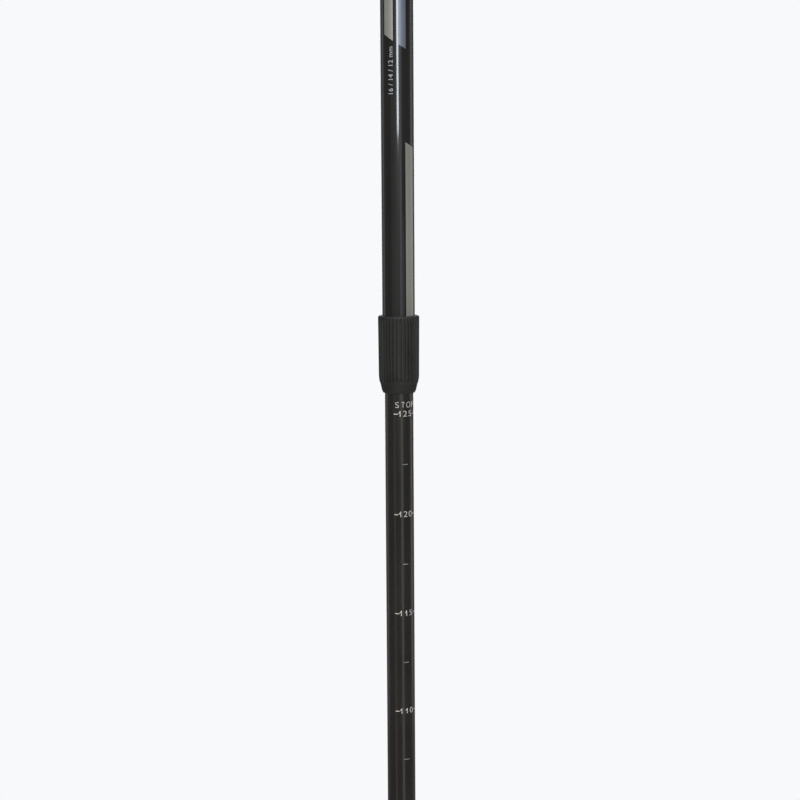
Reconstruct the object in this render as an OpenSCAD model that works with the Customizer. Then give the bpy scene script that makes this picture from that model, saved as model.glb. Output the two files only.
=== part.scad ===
// Telescoping pole in three tubes with two internal twist locks.
// Millimetres. The tip stands on the origin and the pole runs up +Z.
// The grip's nose points to -Y and the wrist strap hangs on the +Y side.

/* [Tubes] */
// Outside diameter of the top tube
upper_d = 16; // [15.5:0.5:17]
// Wall thickness of all three tubes
wall = 0.8; // [0.7:0.05:0.9]
// Gap all round between a tube and the one that slides in it
slide_gap = 0.2; // [0.15:0.05:0.25]

/* [Heights above the tip] */
// Top of the grip with both lower tubes drawn out
pole_length = 1260; // [1250:5:1300]
// Bottom edge of the upper collar
upper_collar_z = 730; // [720:5:740]
// Bottom edge of the lower collar
lower_collar_z = 365; // [355:5:375]
// Bottom end of the lower tube, inside the ferrule
lower_tube_z = 78; // [74:1:84]

/* [Overlaps] */
// Length of middle tube held inside the top tube
upper_overlap = 120; // [100:5:120]
// Length of lower tube held inside the middle tube
lower_overlap = 130; // [100:5:140]

/* [Collars] */
// Length of a collar
collar_h = 37.9; // [34:0.1:42]
// Height of the smooth nose below the ribs
nose_h = 4.5; // [4:0.25:5.5]
// How far the ribs stand out from the tube at the top of a collar
rib_over = 2.15; // [1.9:0.05:2.5]
// Grooves round a collar
groove_count = 33; // [24:1:36]
// Depth of a groove
groove_depth = 0.5; // [0.2:0.1:0.6]
// Width of a groove
groove_w = 0.8; // [0.5:0.1:0.9]

/* [Twist locks] */
// Length of an expander sleeve
sleeve_h = 30; // [26:1:34]
// Length of the tapered part of a cone nut
cone_h = 12; // [10:1:14]
// Slits in an expander sleeve
slit_count = 4; // [4:2:6]
// Width of a slit
slit_w = 1.2; // [1:0.1:1.4]

/* [Grip] */
// Length of the grip, from its top to the end ring
grip_h = 230; // [220:5:240]
// Mean radius of the foam
foam_r = 15.8; // [15:0.2:16.6]
// Height of a finger ridge on the foam
ridge = 0.7; // [0.3:0.1:1]
// Half the width of the head
head_half_w = 17; // [16:0.5:19]
// Half the depth of the head, from nose to back
head_half_d = 23; // [22:0.5:25]

/* [Wrist strap] */
// Width of the webbing
webbing_w = 18; // [16:1:20]
// Thickness of one ply of webbing
webbing_t = 2; // [1.6:0.1:2]
// Radius of the round bottom of the loop, at the outside
loop_r = 30; // [26:1:30]
// Width of the padded lining
lining_w = 26; // [22:1:30]
// Thickness of the padded lining
lining_t = 3; // [2:0.5:4]

/* [Tip and basket] */
// Diameter of the straight seat for a rubber foot
foot_seat_d = 11.2; // [10.5:0.1:12]
// Outside diameter of the basket
basket_d = 53; // [50:1:60]
// Windows in the basket's web
window_count = 8; // [5:1:9]

/* [Hidden] */
$fn = 64;

// Fits: pressed or glued pieces, running fits, and faces that only pass each other
seat_gap = 0.02;
run_gap = 0.08;
pass_gap = 0.3;

// Tubes
tube_step = 2 * (wall + slide_gap);
middle_d = upper_d - tube_step;
lower_d = middle_d - tube_step;
middle_top_z = upper_collar_z + upper_overlap;
lower_top_z = lower_collar_z + lower_overlap;

// Inside a collar: the sliding bore, the pocket for the guide bush and the seat of the tube
bush_z = 3;
tube_seat_z = 6.7;
bush_wall = 0.8;

// Threaded studs of the two locks
upper_stud_r = 3;
lower_stud_r = 2.5;
plug_h = 24;
flange_h = 3;
sleeve_floor = 4;
cone_land = 2;
stop_nut_h = 4;
unlock_lift = 0.75;

// Grip levels
grip_z = pole_length - grip_h;
end_ring_h = 12;
core_r = 10.2;
core_z = grip_z + 4;
foam_z = grip_z + end_ring_h;
foam_top_z = pole_length - 56;
head_z = pole_length - 22;
head_y = -3;
upper_tube_top_z = pole_length - 34;
ridge_count = 4;
cap_r = 8.5;
cap_y = head_y - 1;

// Wrist strap: the pin it turns on, the two-ply neck and the hanging loop
pin_r = 1.5;
pin_y = 15;
pin_z = pole_length - 22;
neck_angle = 18;
neck_h = 30;
loop_y = 48;
loop_z = pole_length - 182;
split_y = pin_y + neck_h * sin(neck_angle);
split_z = pin_z - neck_h * cos(neck_angle);
pocket_half_w = webbing_w / 2 + 1;
wedge_w = 12;
wedge_y = 9.6;
wedge_d = 4;

// Tip and basket
basket_seat_r = 7;
basket_z = 52;
hub_h = 13;
rim_r = 1.6;

// Points on an arc about c, from angle a to angle b
function arc(c, r, a, b, steps = 8) =
    [for (i = [0 : steps]) let (t = a + (b - a) * i / steps) c + r * [cos(t), sin(t)]];

// ---- Tubes and collars ----

module tube(d, low, high) {
    rotate_extrude() translate([d / 2 - wall, low]) square([wall, high - low]);
}

// The outer skin of a collar from bore to bore: lip, nose, shoulder, ribbed body and top edge
function collar_skin(seat_r) = let (
        top_r = seat_r + rib_over,
        low_r = top_r - 0.28,
        nose_r = low_r - 0.8,
        lip = 1.5,
        shoulder = 6,
        top_edge = 1)
    concat(
        arc([nose_r - 0.8 - lip, lip], lip, -65, 0),
        [[nose_r, nose_h]],
        arc([low_r - shoulder, nose_h + shoulder / 2], shoulder, -30, 0),
        arc([top_r - top_edge, collar_h - top_edge], top_edge, 0, 90));

module collar(seat_r, slide_r) {
    bore_r = slide_r + slide_gap;
    pocket_r = slide_r + bush_wall;
    difference() {
        rotate_extrude() polygon(concat(
            [[bore_r, 0]],
            collar_skin(seat_r),
            [[seat_r + seat_gap, collar_h], [seat_r + seat_gap, tube_seat_z], [pocket_r, tube_seat_z],
             [pocket_r, bush_z], [bore_r, bush_z]]));
        grooves(seat_r);
    }
}

// Grooves that follow the body and the shoulder at one depth, and stop below the top edge
module grooves(seat_r) {
    low_r = seat_r + rib_over - 0.28;
    for (i = [0 : groove_count - 1]) rotate([0, 0, i * 360 / groove_count])
        translate([0, groove_w / 2, 0]) rotate([90, 0, 0]) linear_extrude(groove_w)
            polygon(concat(
                arc([low_r - 6, nose_h + 3], 6 - groove_depth, -30, 0),
                [[seat_r + rib_over - groove_depth, collar_h - 2.2], [seat_r + 4, collar_h - 1.6],
                 [seat_r + 4, nose_h]]));
}

module guide_bush(slide_r) {
    rotate_extrude() translate([slide_r + run_gap, bush_z + seat_gap])
        square([bush_wall - run_gap - seat_gap, tube_seat_z - bush_z - 2 * seat_gap]);
}

module upper_tube() {
    color("#2b2e33") tube(upper_d, upper_collar_z + tube_seat_z + seat_gap, upper_tube_top_z);
}

module upper_collar() {
    color("#323230") translate([0, 0, upper_collar_z]) collar(upper_d / 2, middle_d / 2);
}

module upper_guide_bush() {
    color("ivory") translate([0, 0, upper_collar_z]) guide_bush(middle_d / 2);
}

module middle_tube() {
    color("#2d2b28") tube(middle_d, lower_collar_z + tube_seat_z + seat_gap, middle_top_z);
}

module lower_collar() {
    color("#323230") translate([0, 0, lower_collar_z]) collar(middle_d / 2, lower_d / 2);
}

module lower_guide_bush() {
    color("ivory") translate([0, 0, lower_collar_z]) guide_bush(lower_d / 2);
}

module lower_tube() {
    color("#2d2b28") tube(lower_d, lower_tube_z + seat_gap, lower_top_z);
}

// ---- Twist locks: each is drawn with the top of its tube at z = 0 ----

// Plug pressed into a tube's top end, with the hole that the stud is set in
module plug(tube_d, stud_r) {
    rotate_extrude() polygon([
        [stud_r + seat_gap, -plug_h], [tube_d / 2 - wall - seat_gap, -plug_h],
        [tube_d / 2 - wall - seat_gap, seat_gap], [tube_d / 2 - slide_gap, seat_gap],
        [tube_d / 2 - slide_gap, flange_h], [stud_r + seat_gap, flange_h]]);
}

sleeve_z = flange_h + pass_gap;
cone_z = sleeve_z + sleeve_h - cone_h;
stop_nut_z = cone_z + cone_h + cone_land + unlock_lift + pass_gap;
stud_top_z = stop_nut_z + stop_nut_h + 2;

module stud(stud_r) {
    low = 6 - plug_h;
    chamfer = 0.6;
    rotate_extrude() polygon([
        [0, low], [stud_r, low], [stud_r, stud_top_z - chamfer], [stud_r - chamfer, stud_top_z],
        [0, stud_top_z]]);
}

module stop_nut(stud_r, flats) {
    translate([0, 0, stop_nut_z]) difference() {
        cylinder(r = flats / 2 / cos(30), h = stop_nut_h, $fn = 6);
        translate([0, 0, -1]) cylinder(r = stud_r + seat_gap, h = stop_nut_h + 2);
    }
}

function cone_low_r(stud_r) = stud_r + 1.3;
function cone_top_r(tube_d) = tube_d / 2 - slide_gap - 1;

// Slit sleeve that the cone nut spreads against the bore of the outer tube
module expander_sleeve(tube_d, stud_r) {
    taper_gap = 0.15;
    translate([0, 0, sleeve_z]) difference() {
        rotate_extrude() polygon([
            [stud_r + run_gap, 0], [tube_d / 2, 0], [tube_d / 2, sleeve_h],
            [cone_top_r(tube_d) + taper_gap, sleeve_h],
            [cone_low_r(stud_r) + taper_gap, sleeve_h - cone_h],
            [cone_low_r(stud_r) + taper_gap, sleeve_floor], [stud_r + run_gap, sleeve_floor]]);
        for (i = [0 : slit_count - 1]) rotate([0, 0, i * 360 / slit_count])
            translate([stud_r + 0.5, -slit_w / 2, sleeve_floor + 4]) cube([tube_d, slit_w, sleeve_h]);
    }
}

// Cone nut with two keys that ride in opposite slits, so that it can't turn in the sleeve
module cone_nut(tube_d, stud_r) {
    key_w = slit_w - 0.3;
    bore_r = stud_r + run_gap;
    translate([0, 0, cone_z]) difference() {
        union() {
            rotate_extrude() polygon([
                [0, 0], [cone_low_r(stud_r), 0], [cone_top_r(tube_d), cone_h],
                [cone_top_r(tube_d), cone_h + cone_land], [0, cone_h + cone_land]]);
            translate([0.5 - tube_d / 2, -key_w / 2, 2]) cube([tube_d - 1, key_w, cone_h + cone_land - 2]);
        }
        translate([0, 0, -1]) cylinder(r = bore_r, h = cone_h + cone_land + 2);
    }
}

module upper_expander_sleeve() {
    color("#c9c6bd") translate([0, 0, middle_top_z]) expander_sleeve(middle_d, upper_stud_r);
}

module upper_cone_nut() {
    color("#8d2f28") translate([0, 0, middle_top_z]) cone_nut(middle_d, upper_stud_r);
}

module middle_plug() {
    color("#c9c6bd") translate([0, 0, middle_top_z]) plug(middle_d, upper_stud_r);
}

module middle_stud() {
    color("silver") translate([0, 0, middle_top_z]) stud(upper_stud_r);
}

module middle_stop_nut() {
    color("silver") translate([0, 0, middle_top_z]) stop_nut(upper_stud_r, 10);
}

module lower_expander_sleeve() {
    color("#c9c6bd") translate([0, 0, lower_top_z]) expander_sleeve(lower_d, lower_stud_r);
}

module lower_cone_nut() {
    color("#8d2f28") translate([0, 0, lower_top_z]) cone_nut(lower_d, lower_stud_r);
}

module lower_plug() {
    color("#c9c6bd") translate([0, 0, lower_top_z]) plug(lower_d, lower_stud_r);
}

module lower_stud() {
    color("silver") translate([0, 0, lower_top_z]) stud(lower_stud_r);
}

module lower_stop_nut() {
    color("silver") translate([0, 0, lower_top_z]) stop_nut(lower_stud_r, 8);
}

// ---- Grip ----

// The head's form: a round neck that swells into an oval, domed top with broad shoulders at the
// back, where the pin's ends are held
module head_form() {
    shoulder_r = 7.5;
    shoulder_y = 10;
    hull() {
        translate([0, 0, foam_top_z]) cylinder(r = foam_r - 0.3, h = 1, $fn = 48);
        translate([0, head_y, head_z]) scale([head_half_w, head_half_d, 12]) sphere(1, $fn = 48);
        translate([0, head_y, pole_length - 13])
            scale([head_half_w - 1, head_half_d - 1.5, 13]) sphere(1, $fn = 48);
        for (side = [-1, 1])
            translate([side * (head_half_w - shoulder_r - 0.5), shoulder_y, pin_z]) sphere(shoulder_r, $fn = 32);
    }
}

// Pocket in the back of the head, with a slanted channel below it for the hanging strap
module strap_pocket() {
    translate([-pocket_half_w, 0, 0]) rotate([90, 0, 90]) linear_extrude(2 * pocket_half_w)
        polygon([[9, pin_z - 8], [9, pin_z + 9], [40, pin_z + 9], [40, foam_top_z - 4],
            [20.5, foam_top_z - 4], [13.5, pin_z - 8]]);
}

module grip_core() {
    color("#2a2a2b") difference() {
        union() {
            translate([0, 0, core_z]) cylinder(r = core_r, h = foam_top_z - core_z + 2);
            head_form();
        }
        translate([0, 0, core_z - 1]) cylinder(r = upper_d / 2 + seat_gap, h = upper_tube_top_z - core_z + 1);
        strap_pocket();
        translate([-wedge_w / 2 - 0.3, wedge_y - 0.3, pin_z + 8])
            cube([wedge_w + 0.6, wedge_d + 0.6, 40]);
        translate([-30, pin_y, pin_z]) rotate([0, 90, 0]) cylinder(r = pin_r + seat_gap, h = 60);
        translate([0, cap_y, pole_length - 7]) cylinder(r = cap_r, h = 20);
    }
}

module grip_foam() {
    waves = 48;
    outline = [for (i = [0 : waves]) let (t = i / waves)
        [foam_r + ridge * sin(t * ridge_count * 360 - 90) - 1.5 * pow(2 * t - 1, 8),
         foam_z + seat_gap + t * (foam_top_z - foam_z - 2 * seat_gap)]];
    color("#1d1d1e") rotate_extrude() polygon(concat(
        [[core_r + seat_gap, foam_z + seat_gap]], outline, [[core_r + seat_gap, foam_top_z - seat_gap]]));
}

module grip_end_ring() {
    edge = 2;
    color("#4b4d50") rotate_extrude() polygon(concat(
        [[upper_d / 2 + seat_gap, grip_z]],
        arc([foam_r - 2.4 - edge, grip_z + edge], edge, -90, 0),
        [[foam_r - 1.6, foam_z], [core_r + seat_gap, foam_z], [core_r + seat_gap, core_z - seat_gap],
         [upper_d / 2 + seat_gap, core_z - seat_gap]]));
}

module grip_head_cap() {
    dome_r = 40;
    dome_z = pole_length - 0.4 - dome_r;
    color("#5a5c60") translate([0, cap_y, 0]) intersection() {
        translate([0, 0, pole_length - 7 + seat_gap]) cylinder(r = cap_r - seat_gap, h = 10);
        translate([0, 0, dome_z]) sphere(dome_r);
    }
}

module strap_pin() {
    half = head_half_w - 2.8;
    color("silver") translate([-half, pin_y, pin_z]) rotate([0, 90, 0]) cylinder(r = pin_r, h = 2 * half);
}

module strap_wedge() {
    top = pole_length - 4;
    color("#3c3e41") difference() {
        translate([-wedge_w / 2, wedge_y, pin_z + 5.5]) cube([wedge_w, wedge_d, top - pin_z - 5.5]);
        for (i = [-1 : 1]) translate([-10, wedge_y + wedge_d / 2 + i * 1.3, top])
            rotate([0, 90, 0]) cylinder(r = 0.35, h = 20);
    }
}

// ---- Wrist strap: outlines in the Y-Z plane, drawn along X ----

module across(width) {
    translate([-width / 2, 0, 0]) rotate([90, 0, 90]) linear_extrude(width) children();
}

loop_reach = norm([loop_y - split_y, loop_z - split_z]);
loop_tilt = atan2(loop_z - split_z, loop_y - split_y);

// Teardrop from the split of the plies down to the round bottom: arc, then straight to the point
module teardrop(r, inset) {
    half = acos(r / (loop_reach - inset));
    point = [loop_y, loop_z] - (loop_reach - inset) * [cos(loop_tilt), sin(loop_tilt)];
    polygon(concat(
        arc([loop_y, loop_z], r, loop_tilt + 180 + half, loop_tilt + 540 - half, 40), [point]));
}

module strap_webbing() {
    inner_r = loop_r - webbing_t;
    inset = webbing_t * loop_reach / loop_r;
    color("#2f3033") across(webbing_w) difference() {
        union() {
            translate([pin_y, pin_z]) circle(pin_r + run_gap + webbing_t);
            translate([pin_y, pin_z]) rotate(neck_angle - 90)
                translate([0, -webbing_t]) square([neck_h + 8, 2 * webbing_t]);
            teardrop(loop_r, 0);
        }
        teardrop(inner_r, inset);
        translate([pin_y, pin_z]) circle(pin_r + run_gap);
    }
}

// Padded lining inside the lower half of the loop
module strap_lining() {
    outer_r = loop_r - webbing_t - seat_gap;
    span = 82;
    color("#6b6e73") across(lining_w) polygon(concat(
        arc([loop_y, loop_z], outer_r, loop_tilt - span, loop_tilt + span, 32),
        arc([loop_y, loop_z], outer_r - lining_t, loop_tilt + span, loop_tilt - span, 32)));
}

// Moulded keeper round both plies at the foot of the neck
module strap_keeper() {
    wall_t = 1.5;
    long = 8;
    half_t = webbing_t + 0.1;
    color("#1f2022") difference() {
        across(webbing_w + 2 * wall_t + 0.2) keeper_outline(half_t + wall_t, long);
        across(webbing_w + 0.2) keeper_outline(half_t, long + 2);
    }
}

module keeper_outline(half_t, long) {
    translate([pin_y, pin_z]) rotate(neck_angle - 90)
        translate([20 - long / 2, -half_t]) square([long, 2 * half_t]);
}

// ---- Tip and basket ----

module tip_ferrule() {
    foot_r = foot_seat_d / 2;
    color("#262626") rotate_extrude() polygon([
        [3.5 + seat_gap, 14], [foot_r - 1, 14], [foot_r, 18], [foot_r, 48], [basket_seat_r, 50],
        [basket_seat_r, basket_z + hub_h + 0.4], [8.8, basket_z + hub_h + 0.4],
        [8.8, basket_z + hub_h + 3], [7.9, basket_z + hub_h + 5], [7.3, 117], [6.8, 120],
        [lower_d / 2 + seat_gap, 120], [lower_d / 2 + seat_gap, lower_tube_z], [3, lower_tube_z],
        [3, 32 + seat_gap], [3.5 + seat_gap, 32 + seat_gap]]);
}

module tip_holder() {
    color("#9a9b9d") rotate_extrude() polygon([
        [2 + seat_gap, 4.5], [2.9, 4.5], [3.5, 8], [3.5, 32], [0, 32], [0, 16 + seat_gap],
        [2 + seat_gap, 16 + seat_gap]]);
}

module carbide_tip() {
    color("#6d6f72") rotate_extrude() polygon([[0, 0], [1.5, 0], [2, 3], [2, 16], [0, 16]]);
}

module basket() {
    hub_r = 10.5;
    rim_at = basket_d / 2 - rim_r;
    rim_z = 8;
    window_r = (rim_at - hub_r) / 2 - 2.4;
    color("#232425") translate([0, 0, basket_z]) difference() {
        rotate_extrude() polygon(concat(
            [[basket_seat_r + run_gap, 0], [hub_r, 0], [hub_r, 1.2]],
            arc([rim_at, rim_z], rim_r, -145, 145, 20),
            [[hub_r, 3.6], [hub_r, hub_h - 1], [hub_r - 1, hub_h], [basket_seat_r + run_gap, hub_h]]));
        for (i = [0 : window_count - 1]) rotate([0, 0, i * 360 / window_count])
            translate([(rim_at + hub_r) / 2, 0, -1]) cylinder(r = window_r, h = hub_h + 2);
    }
}

grip_core();
grip_foam();
grip_end_ring();
grip_head_cap();
strap_pin();
strap_wedge();
strap_webbing();
strap_lining();
strap_keeper();
upper_tube();
upper_collar();
upper_guide_bush();
upper_expander_sleeve();
upper_cone_nut();
middle_tube();
middle_plug();
middle_stud();
middle_stop_nut();
lower_collar();
lower_guide_bush();
lower_expander_sleeve();
lower_cone_nut();
lower_tube();
lower_plug();
lower_stud();
lower_stop_nut();
tip_ferrule();
tip_holder();
carbide_tip();
basket();
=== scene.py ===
"""Looks of a telescoping trekking pole with two twist locks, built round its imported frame.

The tip stands on the origin and the pole runs up +Z. The grip's nose points to -Y and the wrist
strap hangs on the +Y side. Lengths in the classes are millimetres, and a mesh is scaled to metres
as it is made. An angle round the pole is in degrees, 0 towards -Y and growing towards +X.
"""

import logging
import math
from collections.abc import Sequence
from dataclasses import dataclass, replace
from enum import Enum
from typing import Any

import bmesh
import bpy
import numpy as np
from mathutils import Matrix, Vector


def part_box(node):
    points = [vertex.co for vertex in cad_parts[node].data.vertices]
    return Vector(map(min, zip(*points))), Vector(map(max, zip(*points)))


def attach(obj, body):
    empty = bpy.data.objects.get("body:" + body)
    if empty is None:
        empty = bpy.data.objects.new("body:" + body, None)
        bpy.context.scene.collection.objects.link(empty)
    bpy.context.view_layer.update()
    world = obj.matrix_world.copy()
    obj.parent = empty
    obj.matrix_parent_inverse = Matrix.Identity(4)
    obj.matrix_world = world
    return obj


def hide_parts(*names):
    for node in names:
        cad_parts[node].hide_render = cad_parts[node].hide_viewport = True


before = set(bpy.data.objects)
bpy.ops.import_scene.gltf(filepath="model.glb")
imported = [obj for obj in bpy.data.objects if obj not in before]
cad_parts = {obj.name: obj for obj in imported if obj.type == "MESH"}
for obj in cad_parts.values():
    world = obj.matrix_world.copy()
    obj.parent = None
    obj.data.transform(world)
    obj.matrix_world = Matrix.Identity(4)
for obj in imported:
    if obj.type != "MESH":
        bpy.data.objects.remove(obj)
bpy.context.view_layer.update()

MM = 0.001
MERGE_MM = 0.002
FIT = 0.02
CREASE = 38.0
Colour = tuple[float, float, float]
Corner = tuple[float, float, float]
log = logging.getLogger("pole")


@dataclass(frozen=True)
class Box:
    """Lowest and highest corner of a CAD node, in millimetres."""

    low: np.ndarray
    high: np.ndarray

    @property
    def bottom(self) -> float:
        """Height of the lower end."""
        return float(self.low[2])

    @property
    def top(self) -> float:
        """Height of the upper end."""
        return float(self.high[2])

    @property
    def reach(self) -> float:
        """Largest x, which is the radius of a round node and half the width of any other."""
        return float(self.high[0])

    @property
    def middle(self) -> np.ndarray:
        """The box's middle."""
        return (self.low + self.high) / 2


def box_of(node: str) -> Box:
    """A CAD node's box."""
    low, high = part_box(node)
    return Box(np.array(low) / MM, np.array(high) / MM)


def smooth_step(value: np.ndarray) -> np.ndarray:
    """3t^2 - 2t^3 of a value clipped to 0..1, so that it starts and ends level."""
    t = np.clip(value, 0.0, 1.0)
    return t * t * (3.0 - 2.0 * t)


def signed_power(value: np.ndarray, power: np.ndarray | float) -> np.ndarray:
    """|v|^p with the sign of v, which squares a circle's sine and cosine off as p falls below 1."""
    return np.sign(value) * np.abs(value) ** power


# ---- Outlines ----


def rounded(corners: Sequence[Corner], closed: bool = True, steps: int = 5) -> np.ndarray:
    """Rounds the corners of an outline.

    A corner p is cut back by its own length c along both of its sides, and the gap is bridged with
    (1 - s)^2 a + 2 s (1 - s) p + s^2 b, where a and b are the two cuts and s runs from 0 to 1.

    Args:
        corners: (first coordinate, second coordinate, cut length) of each corner, in order.
        closed: whether the last corner joins the first.
        steps: sides in each rounded corner.

    Returns:
        The outline's points, one row each.
    """
    data = np.array(corners, float)
    points, cuts = data[:, :2], data[:, 2].copy()
    if not closed:
        cuts[[0, -1]] = 0.0
    towards = [np.roll(points, shift, axis=0) - points for shift in (1, -1)]
    lengths = [np.maximum(np.linalg.norm(side, axis=1), 1e-9) for side in towards]
    cuts = np.minimum(cuts, 0.49 * np.minimum(*lengths))
    ends = [points + side * (cuts / length)[:, None] for side, length in zip(towards, lengths)]
    s = np.linspace(0.0, 1.0, steps + 1)[None, :, None]
    bridge = (1 - s) ** 2 * ends[0][:, None] + 2 * s * (1 - s) * points[:, None] + s**2 * ends[1][:, None]
    outline = bridge.reshape(-1, 2)
    fresh = np.linalg.norm(outline - np.roll(outline, 1, axis=0), axis=1) > 1e-6
    fresh[0] = True
    return outline[fresh]


def split_long(outline: np.ndarray, longest: float, closed: bool = True) -> np.ndarray:
    """Adds evenly spaced points to an outline's long sides.

    Args:
        outline: the outline's points.
        longest: length that no side is longer than afterwards.
        closed: whether the last point joins the first.

    Returns:
        The outline with the points added.
    """
    after = np.roll(outline, -1, axis=0) if closed else outline[1:]
    parts = []
    for start, end in zip(outline, after):
        count = max(1, math.ceil(float(np.linalg.norm(end - start)) / longest))
        parts.append(start + (end - start) * (np.arange(count) / count)[:, None])
    if not closed:
        parts.append(outline[-1:])
    return np.concatenate(parts)


# ---- Surfaces ----


@dataclass
class Surface:
    """A grid of points that becomes quads.

    points has the shape (rows, columns, 3). A wrapped direction joins its last line to its first,
    and a capped surface gets a face over its first and its last row. uv has one more line than
    points in each wrapped direction, and the crest weight has one number for each point.
    """

    points: np.ndarray
    wrap_rows: bool = False
    wrap_columns: bool = True
    capped: bool = False
    uv: np.ndarray | None = None
    wear: np.ndarray | None = None

    def across(self) -> "Surface":
        """The same surface, turned so that what was upright lies along X."""
        self.points = self.points[..., [2, 0, 1]]
        return self

    def moved(self, x: float, y: float, z: float) -> "Surface":
        """The same surface, shifted."""
        self.points = self.points + np.array([x, y, z])
        return self

    def _cells(self) -> tuple[np.ndarray, np.ndarray]:
        """Finds the quads.

        Returns:
            Row and column number of every quad's first corner.
        """
        rows, columns = self.points.shape[:2]
        cells = np.meshgrid(
            np.arange(rows if self.wrap_rows else rows - 1),
            np.arange(columns if self.wrap_columns else columns - 1),
            indexing="ij",
        )
        return cells[0].ravel(), cells[1].ravel()

    def faces(self, first: int) -> list[list[int]]:
        """Lists the faces: the quads, then any caps.

        Args:
            first: number of the surface's first point.

        Returns:
            The point numbers of every face.
        """
        rows, columns = self.points.shape[:2]
        row, column = self._cells()
        below, beside = (row + 1) % rows, (column + 1) % columns
        corners = ((row, column), (below, column), (below, beside), (row, beside))
        quads = np.stack([r * columns + c for r, c in corners], axis=1)
        caps = [np.arange(columns), (rows - 1) * columns + np.arange(columns)] if self.capped else []
        return (quads + first).tolist() + [(cap + first).tolist() for cap in caps]

    def corner_uv(self) -> np.ndarray:
        """Spreads the grid's UV over the faces.

        Returns:
            UV of every face corner, in the order of faces().
        """
        row, column = self._cells()
        cap_corners = 2 * self.points.shape[1] if self.capped else 0
        if self.uv is None:
            return np.zeros((4 * len(row) + cap_corners, 2))
        corners = [self.uv[row, column], self.uv[row + 1, column], self.uv[row + 1, column + 1]]
        quads = np.stack([*corners, self.uv[row, column + 1]], axis=1).reshape(-1, 2)
        return np.concatenate([quads, np.zeros((cap_corners, 2))])


def full_turn(count: int) -> np.ndarray:
    """Evenly spaced angles of a full turn, in radians."""
    return np.linspace(0.0, 2.0 * math.pi, count, endpoint=False)


def around(radius: np.ndarray, angle: np.ndarray, height: np.ndarray) -> np.ndarray:
    """Points about the pole's axis, x = r sin a and y = -r cos a, from arrays that broadcast."""
    return np.stack(np.broadcast_arrays(radius * np.sin(angle), -radius * np.cos(angle), height), axis=-1)


def revolve(outline: np.ndarray, segments: int = 96, closed: bool = True) -> Surface:
    """Turns an outline of (radius, height) points about +Z.

    Args:
        outline: the outline's points.
        segments: sides in the full turn.
        closed: whether the outline joins its own start, as a tube's wall does. One that isn't
            closed starts and ends on the axis.

    Returns:
        A surface with one row for each angle.
    """
    radius, height = outline[None, :, 0], outline[None, :, 1]
    return Surface(around(radius, full_turn(segments)[:, None], height), wrap_rows=True, wrap_columns=closed)


def sweep(
    outline: np.ndarray, path: np.ndarray, across: np.ndarray, beside: np.ndarray, **kind: Any
) -> Surface:
    """Carries an outline along a path: point = path + first * across + second * beside.

    Args:
        outline: the outline's points, as (first, second).
        path: the path's points.
        across: direction of the outline's first coordinate at each path point.
        beside: direction of its second coordinate at each path point.
        kind: the surface's own settings.

    Returns:
        A surface with one row for each path point.
    """
    first, second = outline[None, :, 0, None], outline[None, :, 1, None]
    return Surface(path[:, None] + first * across[:, None] + second * beside[:, None], **kind)


def film(radius: float, left: float, right: float, low: Sequence[float], high: Sequence[float]) -> Surface:
    """A thin printed patch that lies on a tube and has slanted or level ends.

    Args:
        radius: radius of the tube.
        left, right: angles of the patch's sides.
        low, high: height of its lower and its upper end, each as (at the left, at the right).

    Returns:
        A closed film that stands a little proud of the tube and reaches a little into it.
    """
    proud, sunk, widest = 0.04, 0.05, 3.0
    t = np.linspace(0.0, 1.0, max(3, math.ceil((right - left) / widest) + 1))
    angle = np.radians(left + (right - left) * t)
    ends = [low[0] + (low[1] - low[0]) * t, high[0] + (high[1] - high[0]) * t]
    inner, outer = radius - sunk, radius + proud
    loop = [(inner, ends[0]), (outer, ends[0]), (outer, ends[1]), (inner, ends[1])]
    return Surface(np.stack([around(r, angle, z) for r, z in loop], axis=1), capped=True)


def threaded(radius: float, pitch: float, depth: float, low: float, high: float) -> Surface:
    """A rod with an outside thread.

    r = radius - depth * |2 frac(z / pitch - a / 2 pi) - 1|, eased to the thread's root over the
    last turn at both ends.

    Args:
        radius: radius over the thread's crests.
        pitch: height of one turn.
        depth: depth of the thread.
        low, high: the rod's ends.

    Returns:
        A capped surface with one row for each height.
    """
    per_turn, sides = 6, 48
    height = np.linspace(low, high, math.ceil((high - low) / pitch * per_turn) + 1)[:, None]
    turn = np.arange(sides)[None, :] / sides
    wave = np.abs(2.0 * ((height / pitch - turn) % 1.0) - 1.0)
    ease = smooth_step(np.minimum(height - low, high - height) / pitch)
    r = radius - depth * (1.0 - ease * (1.0 - wave))
    return Surface(around(r, 2.0 * math.pi * turn, height), capped=True)


def stitches(
    centre: np.ndarray, along: np.ndarray, out: np.ndarray, length: float, width: float
) -> list[Surface]:
    """Rows of sewing stitches, each a small pillow of thread.

    Args:
        centre: one point for each stitch.
        along: direction of each stitch.
        out: direction away from the cloth at each stitch.
        length, width: size of a stitch.

    Returns:
        One closed surface for each stitch.
    """
    side = np.cross(along, out)
    s = np.linspace(0.0, math.pi, 5)[:, None]
    a = full_turn(6)[None, :]
    thick = np.sin(s) * width / 2
    form = np.stack([-np.cos(s) * length / 2 + 0.0 * a, thick * np.cos(a), thick * np.sin(a)])
    axes = np.stack([along, side, out], axis=1)
    grids = centre[:, None, None, :] + np.einsum("irc,nik->nrck", form, axes)
    return [Surface(grid) for grid in grids]


# ---- Finishes ----


class Grain(Enum):
    """What a finish's fine relief is."""

    MOULDED = "fine even grain"
    DRAWN = "faint lines along the pole"
    TURNED = "fine rings round the pole"
    CELLS = "small open cells"
    WOVEN = "yarns that cross, laid out on the piece's own UV"


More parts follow.
